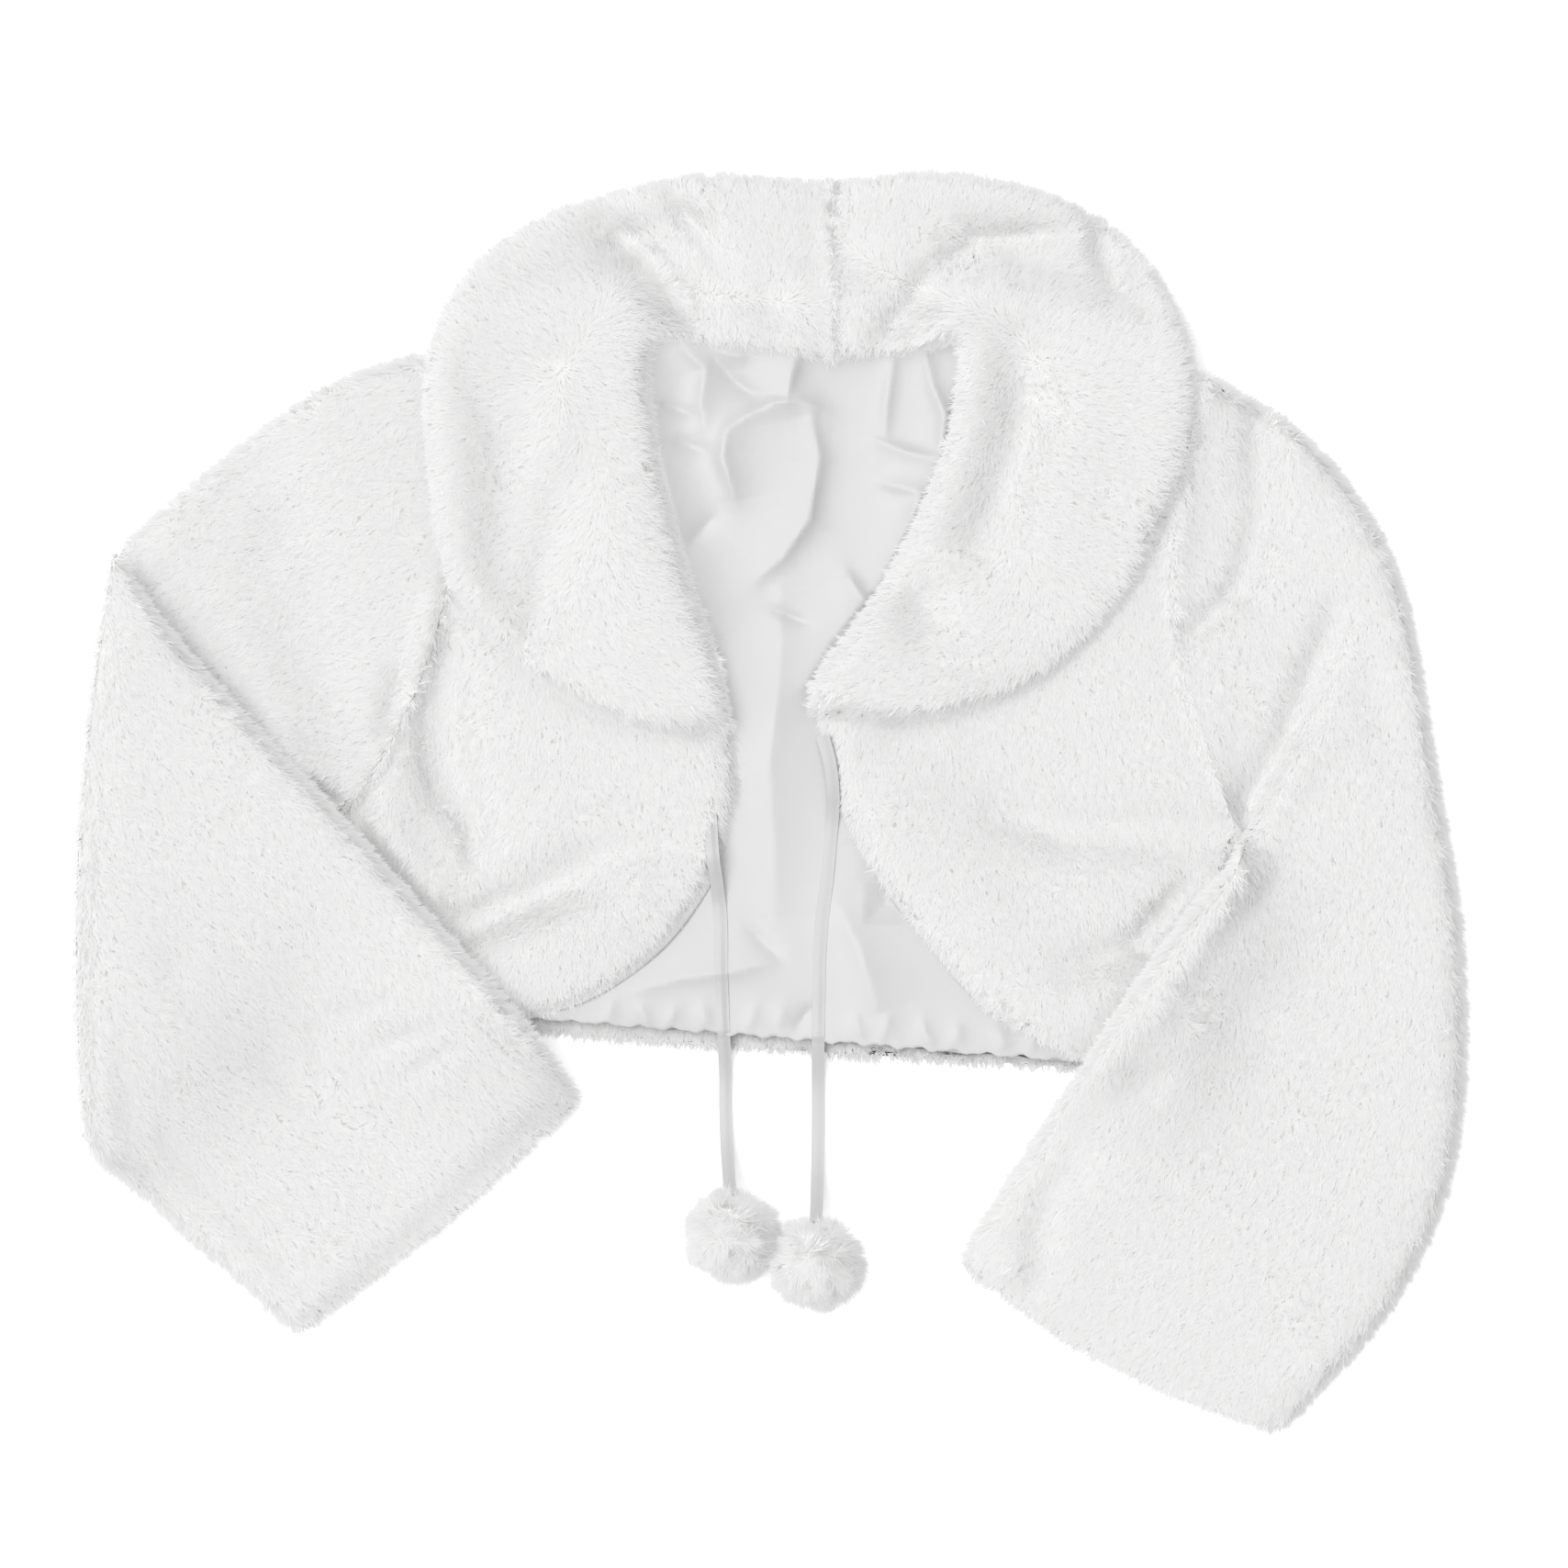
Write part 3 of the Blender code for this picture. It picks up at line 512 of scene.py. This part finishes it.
# The back's pile is given a low tone, so it is painted darker as shade where it shows round the
# rim.
back_pile = grow_pile(back, "back_panel", ["back_panel_pile"],
                      [(-150, 0, -0.3, -1), (0, -130, 0, -1), (150, 0, 0.3, -1)], 11, length=6.0,
                      tone_and_shade=0.35)


# Back lining
# A thin white satin lining is cut like the back and sewn in along the neck, the armholes and the
# hem. It is a little too large, so it lies in sharp creases and puckers at the hem stitching.

satin, output = new_material("acetate_satin")
place = add_node(satin, "ShaderNodeTexCoord")
slub = add_node(satin, "ShaderNodeTexNoise", {"Scale": 1.0 / (22 * MM), "Detail": 3.0},
                {"Vector": place.outputs["Object"]})
satin_tone = add_node(satin, "ShaderNodeMix", {
    "data_type": "RGBA", 6: linear("#CFCFCF"), 7: linear("#D5D5D5")},
    {0: slub.outputs["Fac"]})
twill = add_node(satin, "ShaderNodeTexWave", {
    "bands_direction": "DIAGONAL", "Scale": 0.314 / (0.9 * MM), "Distortion": 0.6,
    "Detail": 1.0}, {"Vector": place.outputs["Object"]})
weave = add_node(satin, "ShaderNodeBump", {"Strength": 0.10, "Distance": 0.0001},
                 {"Height": twill.outputs["Fac"]})
satin_shader = add_node(satin, "ShaderNodeBsdfPrincipled", {
    "Roughness": 0.42, "Specular IOR Level": 0.45, "Sheen Weight": 0.12,
    "Sheen Roughness": 0.4},
    {"Base Color": satin_tone.outputs[2], "Normal": weave.outputs["Normal"]})
satin.node_tree.links.new(satin_shader.outputs[0], output.inputs["Surface"])


def crease_height(points, creases):
    """Return the height in mm of sharp creases, each with its own width to the left and right."""
    height = np.zeros(len(points))
    for line, left_width, right_width, crest in creases:
        corners = np.array(line, float)
        spans = np.linalg.norm(np.diff(corners, axis=0), axis=1)
        gap = np.full(len(points), 1e9)
        lean_left, run = np.zeros((2, len(points)))
        for start, end, span, before in zip(corners, corners[1:], spans, np.cumsum(spans) - spans):
            along = (end - start) / span
            away = points[:, :2] - start
            at = np.clip(away @ along, 0.0, span)
            distance = np.linalg.norm(away - at[:, None] * along, axis=1)
            aside = along[0] * away[:, 1] - along[1] * away[:, 0]
            closer = distance < gap
            gap = np.where(closer, distance, gap)
            lean_left = np.where(closer, aside / np.maximum(distance, 1e-6), lean_left)
            run = np.where(closer, (before + at) / spans.sum(), run)
        width = right_width + (left_width - right_width) * (0.5 + 0.5 * lean_left)
        fade = 0.4 + 0.6 * np.sin(np.pi * run) ** 0.7
        height += crest * fade * np.exp(-((np.sqrt(gap ** 2 + 0.25) - 0.5) / width) ** 1.1)
    return height


# A crease: the points of its crest, its widths to the left and right, and its height, all in mm
NECK_CREASES = [
    ([(-64, 232), (-60, 214), (-55, 173), (-43, 124), (-29, 79)], 13, 12, 8),
    ([(94, 226), (87, 191), (84, 170), (74, 148), (52, 106), (29, 79), (16, 57)], 8, 14, 4.5),
    ([(-64, 233), (-20, 229), (29, 224), (70, 228), (94, 236)], 9, 7, 6),
    ([(-46, 225), (-32, 213), (-34, 196), (-32, 181)], 10, 5, 4.3),
    ([(-29, 220), (-18, 207), (-6, 198)], 3.5, 5, -3.2),
    ([(13, 220), (10, 209), (8, 199)], 4, 17, 5.5),
    ([(-24, 181), (-11, 190), (2, 196), (14, 197), (26, 193)], 4, 8, 4.3),
    ([(-22, 181), (-24, 169), (-20, 157), (-18, 148)], 8, 3.5, 5.8),
    ([(20, 190), (24, 169), (19, 139), (6, 120), (-5, 111)], 4, 22, 5.5),
    ([(60, 217), (57, 196), (56, 181)], 3, 4, 2.9),
    ([(76, 219), (79, 205), (85, 190), (83, 169)], 4, 4, 3.6),
    ([(51, 178), (66, 172), (83, 168)], 3, 7, 3.6),
    ([(54, 157), (66, 154), (74, 152)], 7, 3, 3.2),
    ([(74, 152), (68, 136)], 3, 6, 2.6),
    ([(1, 95), (18, 88)], 3, 3, -2.6),
    ([(37, 113), (43, 103), (48, 97)], 3, 9, 3.5),
    ([(-39, 127), (-27, 141)], 5, 4, -2.6),
    ([(-54, 196), (-38, 190)], 4, 4, -2.9),
    ([(-47, 178), (-31, 172)], 3.5, 4, -2.6),
    ([(-26, 221), (-12, 218)], 3, 5, 2.6)]
OPENING_CREASES = [
    ([(5, 106), (5, 79), (3, 52), (-1, 16), (1, -11), (2, -56)], 17, 15, 4.5),
    ([(-67, -92), (-43, -86), (-19, -83), (3, -77)], 8, 4, 2.6),
    ([(-11, -60), (-2, -70), (6, -77)], 3, 4, -2),
    ([(33, -50), (43, -70), (53, -103)], 16, 9, 4.5)]
HEM_PUCKERS = [
    ([(-77, -96), (-81, -110)], 3, 3, 1.4), ([(-65, -98), (-60, -111)], 4, 3, 1.8),
    ([(-47, -101), (-50, -111)], 3, 4, 1.4), ([(-34, -99), (-31, -111)], 3.5, 3, 1.6),
    ([(-8, -100), (-11, -111)], 4, 3, 1.5), ([(21, -100), (12, -110)], 3, 3, -2.2),
    ([(6, -99), (4, -110)], 4, 4, 1.3), ([(41, -103), (44, -115)], 3, 4, 1.6),
    ([(58, -105), (55, -117)], 3, 3, 1.4), ([(74, -107), (78, -119)], 4, 3, 1.8),
    ([(93, -109), (90, -120)], 3, 4, 1.5), ([(111, -110), (115, -121)], 4, 4, 1.8),
    ([(130, -111), (127, -121)], 3, 3, 1.4)]
# Where the lining shows, in mm: west, south, east, north, and how fine its mesh is there
SHOWN = [(-68, 50, 98, 230, 1.5), (-36, -64, 42, 50, 2.0), (-126, -127, 152, -64, 2.0)]
AROUND = 25

# How loose the satin lies, how far it goes under the collar past the neck line, and where the
# wavy hem stitching starts, all in mm
SATIN_SLACK = 2.2
NECK_SEAM, NECK_LINE, NECK_EASE = 10, 222, 8
HEM_LINE, HEM_EASE = -98, 14

lining = cloth_from("back_lining", "back_lining_cloth", 2)
fine = bmesh.new()
fine.from_mesh(lining.data)
for west, south, east, north, step in SHOWN:
    for axis, first, last in ((0, west, east), (1, south, north)):
        for place in np.arange(first, last + 0.1, step):
            upper = []
            for face in fine.faces:
                middle = face.calc_center_bounds() / MM
                if face.normal.z > 0.3 and (len(face.verts) > 4 or face.calc_area() > 1e-6) and (
                        west - AROUND < middle.x < east + AROUND
                        and south - AROUND < middle.y < north + AROUND):
                    upper.append(face)
            rims = {edge for face in upper for edge in face.edges}
            corners = {corner for face in upper for corner in face.verts}
            bmesh.ops.bisect_plane(fine, geom=upper + list(rims) + list(corners), dist=1e-7,
                                   plane_co=[place * MM if axis == k else 0.0 for k in range(3)],
                                   plane_no=[1.0 if axis == k else 0.0 for k in range(3)])
fine.to_mesh(lining.data)
fine.free()
points, normals = read_points(lining.data)
place = points / MM
inside = np.max([np.clip(np.minimum(place[:, :2] - (west, south), (east, north) - place[:, :2])
                         .min(1) / 10 + 1.4, 0.0, 1.0) for west, south, east, north, _ in SHOWN],
                axis=0)
slack = SATIN_SLACK + crease_height(place, NECK_CREASES + OPENING_CREASES + HEM_PUCKERS)
points[:, 2] += np.where(normals[:, 2] > 0.3, inside * np.maximum(slack, 0.0), 0.0) * MM
points[:, 1] += np.clip((place[:, 1] - NECK_LINE) / NECK_EASE, 0.0, 1.0) * NECK_SEAM * MM
stitch_wave = 0.8 * np.sin(place[:, 0] / 2.7) + 0.5 * np.sin(place[:, 0] / 1.3 + 1)
points[:, 1] += np.clip((HEM_LINE - place[:, 1]) / HEM_EASE, 0.0, 1.0) * stitch_wave * MM
write_points(lining.data, points)
lining_tree = tree_of(lining.data)
lining.data.materials.append(satin)
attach(lining, "root")
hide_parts("back_lining")


# Fronts
# Each front is plush cloth, sewn to the back at the side and to the sleeve at the armhole, and
# its front edge curves away to the hem.

# A fold: x and y of its start and of its end, its widths there, and its height, all in mm. A
# negative height is a trough.
FRONT_FOLDS = {
    "left": [
        (-154, 83, -161, 43, 10, 13, -6), (-161, 43, -159, 4, 15, 12, -8),
        (-147, 6, -143, -27, 10, 8, -5.5), (-200, -15, -170, -53, 10, 10, -6),
        (-208, -8, -196, 6, 7, 6, -9), (-196, 1, -166, -42, 10, 8, 3.5),
        (-160, -64, -129, -50, 9, 9, -9), (-129, -50, -88, -33, 10, 15, -6),
        (-132, -23, -90, -7, 13, 17, 3), (-126, -72, -67, -45, 17, 13, 3),
        (-90, -24, -43, -17, 10, 8, -2.5)],
    "right": [
        (110, -2, 144, -14, 10, 12, -3.5), (144, -14, 223, -15, 12, 13, -4.5),
        (181, -67, 205, -39, 8, 7, -8), (149, -79, 181, -68, 13, 9, -5),
        (158, -92, 178, -83, 11, 10, 3), (50, 28, 77, 34, 9, 9, -2.5)]}

for side, nap, flat, area, seed in (
        ("left", [(-150, 0, -0.3, -1), (-60, 0, 0.3, -1)], (0.20, 0.335), 0.045, 21),
        ("right", [(150, 0, 0.2, -1), (60, 0, -0.2, -1)], (0.21, 0.36), 0.05, 22)):
    front = cloth_from(f"{side}_front", f"{side}_front_cloth", 2, edge_hold=0.5)
    sink(front, f"{side}_front", PILE_SINK)
    level_top(front, 12, 0.6)
    lift_seams(front, f"{side}_front")
    front.data.materials.append(plush_ground)
    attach(front, "root")
    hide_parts(f"{side}_front")
    pile = grow_pile(front, f"{side}_front", [f"{side}_front_pile"], nap, seed,
                     FRONT_FOLDS[side])


# Rolled satin edges
# The lining of each front rolls out past the plush along the front edge, as a narrow soft lip.

for side, flat in (("left", (0.024, 0.205)), ("right", (0.024, 0.20))):
    lip = cloth_from(f"{side}_front_lining", f"{side}_front_lining_cloth", 2)
    lip.data.materials.append(satin)
    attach(lip, "root")
    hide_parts(f"{side}_front_lining")


# Sleeves
# Each sleeve is a tube of plush sewn into its armhole. The left one is folded over at the elbow,
# so its lower stretch lies across the front. The right one bends down to its cuff.

SLEEVE_FOLDS = {
    "left_sleeve_upper": [
        (-298, 102, -250, 42, 16, 11, -7), (-229, 83, -197, 34, 24, 20, -5),
        (-177, 66, -184, 37, 9, 8, -5), (-161, 101, -173, 51, 8, 7, 3),
        (-221, 6, -207, -5, 7, 7, -11), (-243, 34, -220, 13, 10, 11, 3),
        (-281, 142, -229, 182, 14, 12, -2), (-243, 166, -222, 119, 16, 22, -2.5)],
    "left_sleeve_lower": [
        (-215, -102, -185, -95, 6, 5, -1.4), (-199, -120, -165, -107, 5, 6, -1.6),
        (-182, -134, -153, -116, 6, 5, -1.2), (-250, -124, -229, -142, 8, 7, -1.6),
        (-225, -110, -219, -137, 6, 5, -1.2), (-298, -164, -229, -237, 7, 6, -2),
        (-294, -72, -291, -88, 11, 10, -1.6), (-270, -97, -189, -169, 26, 22, -2.5),
        (-324, -11, -310, -92, 26, 22, 2)],
    "right_sleeve": [
        (238, 202, 241, 142, 11, 11, -5.5), (241, 142, 230, 106, 10, 9, -5.5),
        (230, 105, 202, 82, 9, 7, -5), (221, 160, 216, 115, 16, 16, -3),
        (277, 97, 255, 38, 9, 9, -5), (255, 38, 228, -11, 9, 8, -4.5),
        (270, 34, 243, -2, 10, 9, 3), (160, -168, 136, -191, 10, 9, -2.5),
        (136, -191, 132, -232, 9, 11, -2.5), (120, -224, 123, -229, 8, 8, 2.5),
        (176, -141, 194, -128, 10, 9, -2), (212, -95, 241, -106, 16, 14, -2.5),
        (288, 83, 306, 25, 14, 12, -2.5), (203, 25, 221, -7, 15, 12, 3)]}

for node, nap, levelled, flat, area, held, rests_on, parts, seed in (
        ("left_sleeve_upper", [(-185, 110, -0.85, -0.5), (-320, 0, -0.9, -0.5)], (12, 0.6),
         (0.50, 0.19), 0.078, "laid", "floor", 1, 31),
        ("left_sleeve_lower", [(-330, -30, 0.6, -0.8), (-170, -200, 0.75, -0.65)], (30, 0.92),
         (0.56, 0.26), 0.102, "folded", "left_sleeve_upper_cloth", 2, 32),
        ("right_sleeve", [(250, 110, 0.2, -1), (285, 0, 0, -1), (270, -120, -0.3, -0.95),
                          (190, -240, -0.7, -0.75)], (22, 0.85),
         (0.46, 0.47), 0.14, "laid", "floor", 2, 33)):
    sleeve = cloth_from(node, f"{node}_cloth", 2)
    sink(sleeve, node, PILE_SINK)
    level_top(sleeve, *levelled)
    if node != "left_sleeve_lower":
        lift_seams(sleeve, node)
    sleeve.data.materials.append(plush_ground)
    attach(sleeve, "root")
    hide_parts(node)
    pile = grow_pile(sleeve, node, [f"{node}_pile_{k + 1}" for k in range(parts)], nap, seed,
                     SLEEVE_FOLDS[node])


# Collar
# The shawl collar is two halves of plush, joined by a seam at the centre back. Each half rolls
# over at the neck and lies on its front as a wide wing.

COLLAR_FOLDS = {
    "left": [
        (-147, 217, -128, 169, 9, 13, -2), (-128, 169, -130, 114, 16, 14, -4),
        (-98, 159, -108, 114, 11, 13, -3.5), (-108, 114, -118, 79, 12, 8, -3.5),
        (-105, 200, -102, 169, 10, 9, 1.5), (-62, 228, -56, 200, 9, 7, -1.5),
        (-80, 280, -62, 270, 10, 10, -6), (-62, 270, -53, 253, 13, 12, -9),
        (-53, 253, -39, 238, 12, 11, -8), (-66, 286, -46, 253, 7, 7, 3),
        (-47, 293, -34, 277, 7, 7, -6), (-34, 277, -21, 253, 8, 9, -3.5),
        (-8, 250, 5, 241, 9, 8, -2.5), (-76, 142, -63, 83, 16, 16, 2)],
    "right": [
        (55, 231, 75, 249, 9, 8, -6), (75, 249, 96, 269, 8, 7, -5),
        (96, 273, 144, 276, 7, 6, -3.5), (70, 231, 86, 256, 8, 8, 3.5),
        (88, 259, 108, 266, 7, 7, 3), (108, 267, 149, 273, 6, 6, 2.5),
        (160, 286, 168, 250, 11, 10, -9), (168, 250, 185, 237, 8, 7, -4),
        (181, 253, 187, 264, 7, 6, 2.5), (123, 224, 127, 189, 12, 12, -3.5),
        (129, 196, 105, 127, 12, 12, -5.5), (72, 107, 84, 88, 15, 14, -4),
        (126, 259, 162, 250, 15, 13, -3), (153, 200, 135, 124, 18, 16, 2)]}

for side, nap, flat, area, seed in (
        ("left", [(-110, 150, -1, -0.4), (-20, 265, -0.2, 1), (-120, 250, -0.8, 0.6),
                  (-60, 210, 0.9, -0.1), (-52, 160, 0.9, -0.3), (-32, 95, 0.9, -0.4),
                  (-25, 232, 0, -1)],
         (0.20, 0.36), 0.036, 41),
        ("right", [(140, 150, 1, -0.4), (80, 275, 0.2, 1), (170, 250, 0.8, 0.6),
                   (86, 200, -0.9, -0.1), (72, 150, -0.9, -0.3), (42, 95, -0.9, -0.4),
                   (55, 232, 0, -1)],
         (0.20, 0.36), 0.036, 42)):
    collar = cloth_from(f"{side}_collar", f"{side}_collar_cloth", 2, edge_hold=0.7)
    sink(collar, f"{side}_collar", PILE_SINK)
    level_top(collar, 10, 0.5)
    lift_seams(collar, f"{side}_collar")
    collar.data.materials.append(plush_ground)
    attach(collar, "root")
    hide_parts(f"{side}_collar")
    pile = grow_pile(collar, f"{side}_collar", [f"{side}_collar_pile"], nap, seed,
                     COLLAR_FOLDS[side])


# Pompoms
# Each tie ends in a ball of plush, cut from the same cloth, gathered round the ribbon's end and
# sewn shut. Its pile stands out in uneven locks.

# The core in mm: its radius, how high its middle lies, and how far apart and high its lumps are
CORE_RADIUS, CORE_HEIGHT = 15, 17.2
LUMP_SPACING, LUMP_HEIGHT = 13, 1.2

for side, (x, y), seed in (("left", (-18.2, -212.3), 51), ("right", (22.3, -225.3), 52)):
    bpy.ops.object.select_all(action="DESELECT")
    bpy.ops.mesh.primitive_ico_sphere_add(subdivisions=4, radius=CORE_RADIUS * MM,
                                          location=(x * MM, y * MM, CORE_HEIGHT * MM))
    core = bpy.context.active_object
    core.name = core.data.name = f"{side}_pompom_core"
    core.scale = (1.06, 1.0, 0.95)
    bpy.ops.object.transform_apply(location=True, rotation=True, scale=True)
    bpy.ops.object.shade_smooth()
    points, normals = read_points(core.data)
    lumps = ripples(points, LUMP_SPACING * MM, seed) * LUMP_HEIGHT * MM
    lumpy = points + normals * lumps[:, None]
    lumpy[:, 2] = np.maximum(lumpy[:, 2], 1.0 * MM)
    write_points(core.data, lumpy)
    core.data.materials.append(plush_ground)
    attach(core, "root")
    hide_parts(f"{side}_pompom")
    locks = grow_pile(core, f"{side}_pompom", [f"{side}_pompom_pile"], [
        (x - 20, y, -0.8, -0.6), (x + 20, y, 0.8, -0.6), (x, y - 20, 0, -1), (x, y + 20, 0, -0.5)],
        seed, spacing=0.5, length=9.5, lean=0.98, lock=5.0, width=0.85, stray=0.8)


# Ties
# Each tie is a quarter-inch satin ribbon, woven with closed edges. It is sewn in where the roll
# of the collar ends, comes over the front edge and runs down to its pompom.

RIBBON_WIDTH, RIBBON_WALL = 6.3 * MM, 0.4 * MM
RIBBON_STEP, RIBBON_LIFT = 1.5 * MM, 0.4 * MM
EASING = np.hanning(17)[1:-1]


def through(route, step):
    """Return a smooth line through a route's points, with points about step apart."""
    knots = np.array(route, float)
    padded = np.vstack([2 * knots[0] - knots[1], knots, 2 * knots[-1] - knots[-2]])
    line = []
    for p0, p1, p2, p3 in zip(padded, padded[1:], padded[2:], padded[3:]):
        t = np.linspace(0, 1, 12, endpoint=False)[:, None]
        line.append(0.5 * (2 * p1 + (p2 - p0) * t + (2 * p0 - 5 * p1 + 4 * p2 - p3) * t ** 2
                           + (3 * p1 - p0 - 3 * p2 + p3) * t ** 3))
    line = np.vstack(line + [knots[-1:]])
    run = np.concatenate([[0], np.cumsum(np.linalg.norm(np.diff(line, axis=0), axis=1))])
    at = np.linspace(0, run[-1], int(run[-1] / step) + 1)
    return np.stack([np.interp(at, run, line[:, k]) for k in range(3)], axis=1)


# Satin ribbon: closer and glossier than the lining, with fine ribs across from its weft. The
# ribs are 0.4 mm apart in fact, and 0.8 mm here so that they show.
ribbon_satin, output = new_material("woven_satin_ribbon")
weave_place = add_node(ribbon_satin, "ShaderNodeUVMap", {"uv_map": "ribbon"})
ribs = add_node(ribbon_satin, "ShaderNodeTexWave", {
    "bands_direction": "Y", "Scale": 0.314 / (0.8 * MM), "Distortion": 0.4},
    {"Vector": weave_place.outputs["UV"]})
rib_bump = add_node(ribbon_satin, "ShaderNodeBump", {"Strength": 0.25, "Distance": 0.0001},
                    {"Height": ribs.outputs["Fac"]})
rib_tone = add_node(ribbon_satin, "ShaderNodeMix", {
    "data_type": "RGBA", 6: linear("#C5C5C5"), 7: linear("#CCCCCC")}, {0: ribs.outputs["Fac"]})
ribbon_shader = add_node(ribbon_satin, "ShaderNodeBsdfPrincipled", {
    "Roughness": 0.36, "Specular IOR Level": 0.5},
    {"Base Color": rib_tone.outputs[2], "Normal": rib_bump.outputs["Normal"]})
ribbon_satin.node_tree.links.new(ribbon_shader.outputs[0], output.inputs["Surface"])

for side, route, crease in (
        ("left", [
            (-27.2, 22.7, 17.4), (-30.2, 8.7, 17.4), (-29.2, -11.3, 18.4), (-28.2, -26.3, 20.6),
            (-26.2, -40.3, 15.4), (-24.7, -53.3, 10.4), (-24.2, -67.3, 10.2),
            (-24.2, -82.3, 12.0), (-23.7, -96.3, 10.6), (-23.2, -110.3, 10.2),
            (-22.7, -120.3, 7.0), (-22.2, -134.3, 2.0), (-22.2, -149.3, 1.2),
            (-21.7, -165.3, 3.4), (-20.7, -179.3, 9.5), (-19.7, -192.3, 17.0)], 0.28),
        ("right", [
            (25.6, 32.7, 20.2), (29.1, 18.7, 19.4), (30.6, 4.7, 16.8), (30.4, -5.3, 13.4),
            (29.3, -17.3, 10.4), (27.8, -35.3, 9.5), (25.3, -57.3, 9.5), (23.8, -77.3, 9.9),
            (23.6, -94.3, 9.6), (23.3, -114.3, 10.0), (23.3, -124.3, 7.0), (23.3, -138.3, 2.0),
            (23.3, -157.3, 1.2), (23.0, -177.3, 3.4), (22.7, -192.3, 9.5),
            (22.3, -205.3, 17.0)], 0.12)):
    line = through(np.array(route) * MM, RIBBON_STEP)
    for spot in line:
        below = lining_tree.ray_cast(Vector((spot[0], spot[1], ABOVE_ALL * MM)),
                                     Vector((0, 0, -1)))
        if below[0] is not None:
            spot[2] = max(spot[2], below[0].z + RIBBON_LIFT)
    eased = np.convolve(np.pad(line[:, 2], len(EASING) // 2, mode="edge"), EASING, "valid")
    line[:, 2] = np.maximum(eased / EASING.sum(), line[:, 2])
    length = np.linalg.norm(np.diff(line, axis=0), axis=1).sum()
    heading = unit(np.gradient(line, axis=0))
    sideways = unit(np.cross(np.array([0, 0, 1.0]), heading))
    upright = np.cross(heading, sideways)
    across = np.linspace(-1, 1, 9)
    run = np.linspace(0, length, len(line))
    bow = crease * MM * (np.cos(across * np.pi * 1.1 + 0.5)[None, :]
                         * (0.7 + 0.3 * np.sin(run / (17 * MM)))[:, None])
    upper = (line[:, None, :] + sideways[:, None, :] * across[None, :, None] * RIBBON_WIDTH / 2
             + upright[:, None, :] * (bow + RIBBON_WALL / 2)[:, :, None])
    lower = upper - upright[:, None, :] * RIBBON_WALL
    rings = np.concatenate([upper, lower[:, ::-1]], axis=1)
    stations, around = rings.shape[:2]
    first = np.arange(stations - 1)[:, None] * around
    spot, beside = np.arange(around), (np.arange(around) + 1) % around
    quads = np.stack([first + spot, first + beside, first + around + beside,
                      first + around + spot], axis=2).reshape(-1, 4)
    ends = np.arange(around)
    caps = np.concatenate([
        [[0, k + 1, k] for k in ends[1:-1]],
        [[0, k, k + 1] for k in ends[1:-1]] + np.array((stations - 1) * around)])
    triangles = np.concatenate([quads[:, [0, 1, 2]], quads[:, [0, 2, 3]], caps])
    ribbon = mesh_piece(f"{side}_tie_ribbon", rings.reshape(-1, 3), triangles[:, ::-1],
                        ribbon_satin)
    make_active(ribbon)
    bpy.ops.object.shade_smooth_by_angle(angle=math.radians(50))
    ribbon_map = ribbon.data.uv_layers.new(name="ribbon")
    corner_point = np.empty(len(ribbon.data.loops), np.int32)
    ribbon.data.loops.foreach_get("vertex_index", corner_point)
    flat_place = np.concatenate([across, across[::-1]]) * RIBBON_WIDTH / 2
    flat_map = np.column_stack([np.tile(flat_place, stations), np.repeat(run, around)])
    ribbon_map.data.foreach_set("uv", flat_map[corner_point].astype(np.float32).ravel())
    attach(ribbon, "root")
    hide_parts(f"{side}_tie")


# Floor, light and camera
# A plain white floor that glows a little, one broad light from above and a little to the left,
# and even light all round. The camera looks straight down from 5 m, so perspective is slight.

bpy.ops.mesh.primitive_plane_add(size=12.0, location=(0, 0, 0))
floor = bpy.context.active_object
floor.name = "floor"
floor_white, output = new_material("matt_white_floor")
floor_shader = add_node(floor_white, "ShaderNodeBsdfPrincipled", {
    "Base Color": linear("#F4F4F4"), "Roughness": 0.9, "Specular IOR Level": 0.1,
    "Emission Color": (1, 1, 1, 1), "Emission Strength": 0.25})
floor_white.node_tree.links.new(floor_shader.outputs[0], output.inputs["Surface"])
floor.data.materials.append(floor_white)

bpy.ops.object.light_add(type="SUN", location=(-0.85, 0.3, 2.6))
overhead = bpy.context.active_object
overhead.name = "overhead_softbox"
overhead.data.angle = math.radians(60)
overhead.data.energy = 2.42
overhead.rotation_euler = (-overhead.location).to_track_quat("-Z", "Y").to_euler()

room = bpy.data.worlds.new("even_light")
room.use_nodes = True
room.node_tree.nodes["Background"].inputs["Color"].default_value = (1, 1, 1, 1)
room.node_tree.nodes["Background"].inputs["Strength"].default_value = 0.41
bpy.context.scene.world = room
bpy.context.scene.view_settings.view_transform = "Standard"
bpy.context.scene.cycles.max_bounces = 24
bpy.context.scene.cycles.diffuse_bounces = 16

# The picture is this wide in metres at the height of the cloth, round this middle.
VIEW_ACROSS, VIEW_MIDDLE, CLOTH_HEIGHT = 0.7686, (0.00655, 0.00925), 0.012
CAMERA_HEIGHT, SENSOR_WIDTH = 5.0, 36.0
bpy.ops.object.camera_add(location=(*VIEW_MIDDLE, CAMERA_HEIGHT), rotation=(0, 0, 0))
camera = bpy.context.active_object
camera.data.sensor_width = SENSOR_WIDTH
camera.data.lens = SENSOR_WIDTH * (CAMERA_HEIGHT - CLOTH_HEIGHT) / VIEW_ACROSS
camera.data.clip_end = 50.0
bpy.context.scene.camera = camera
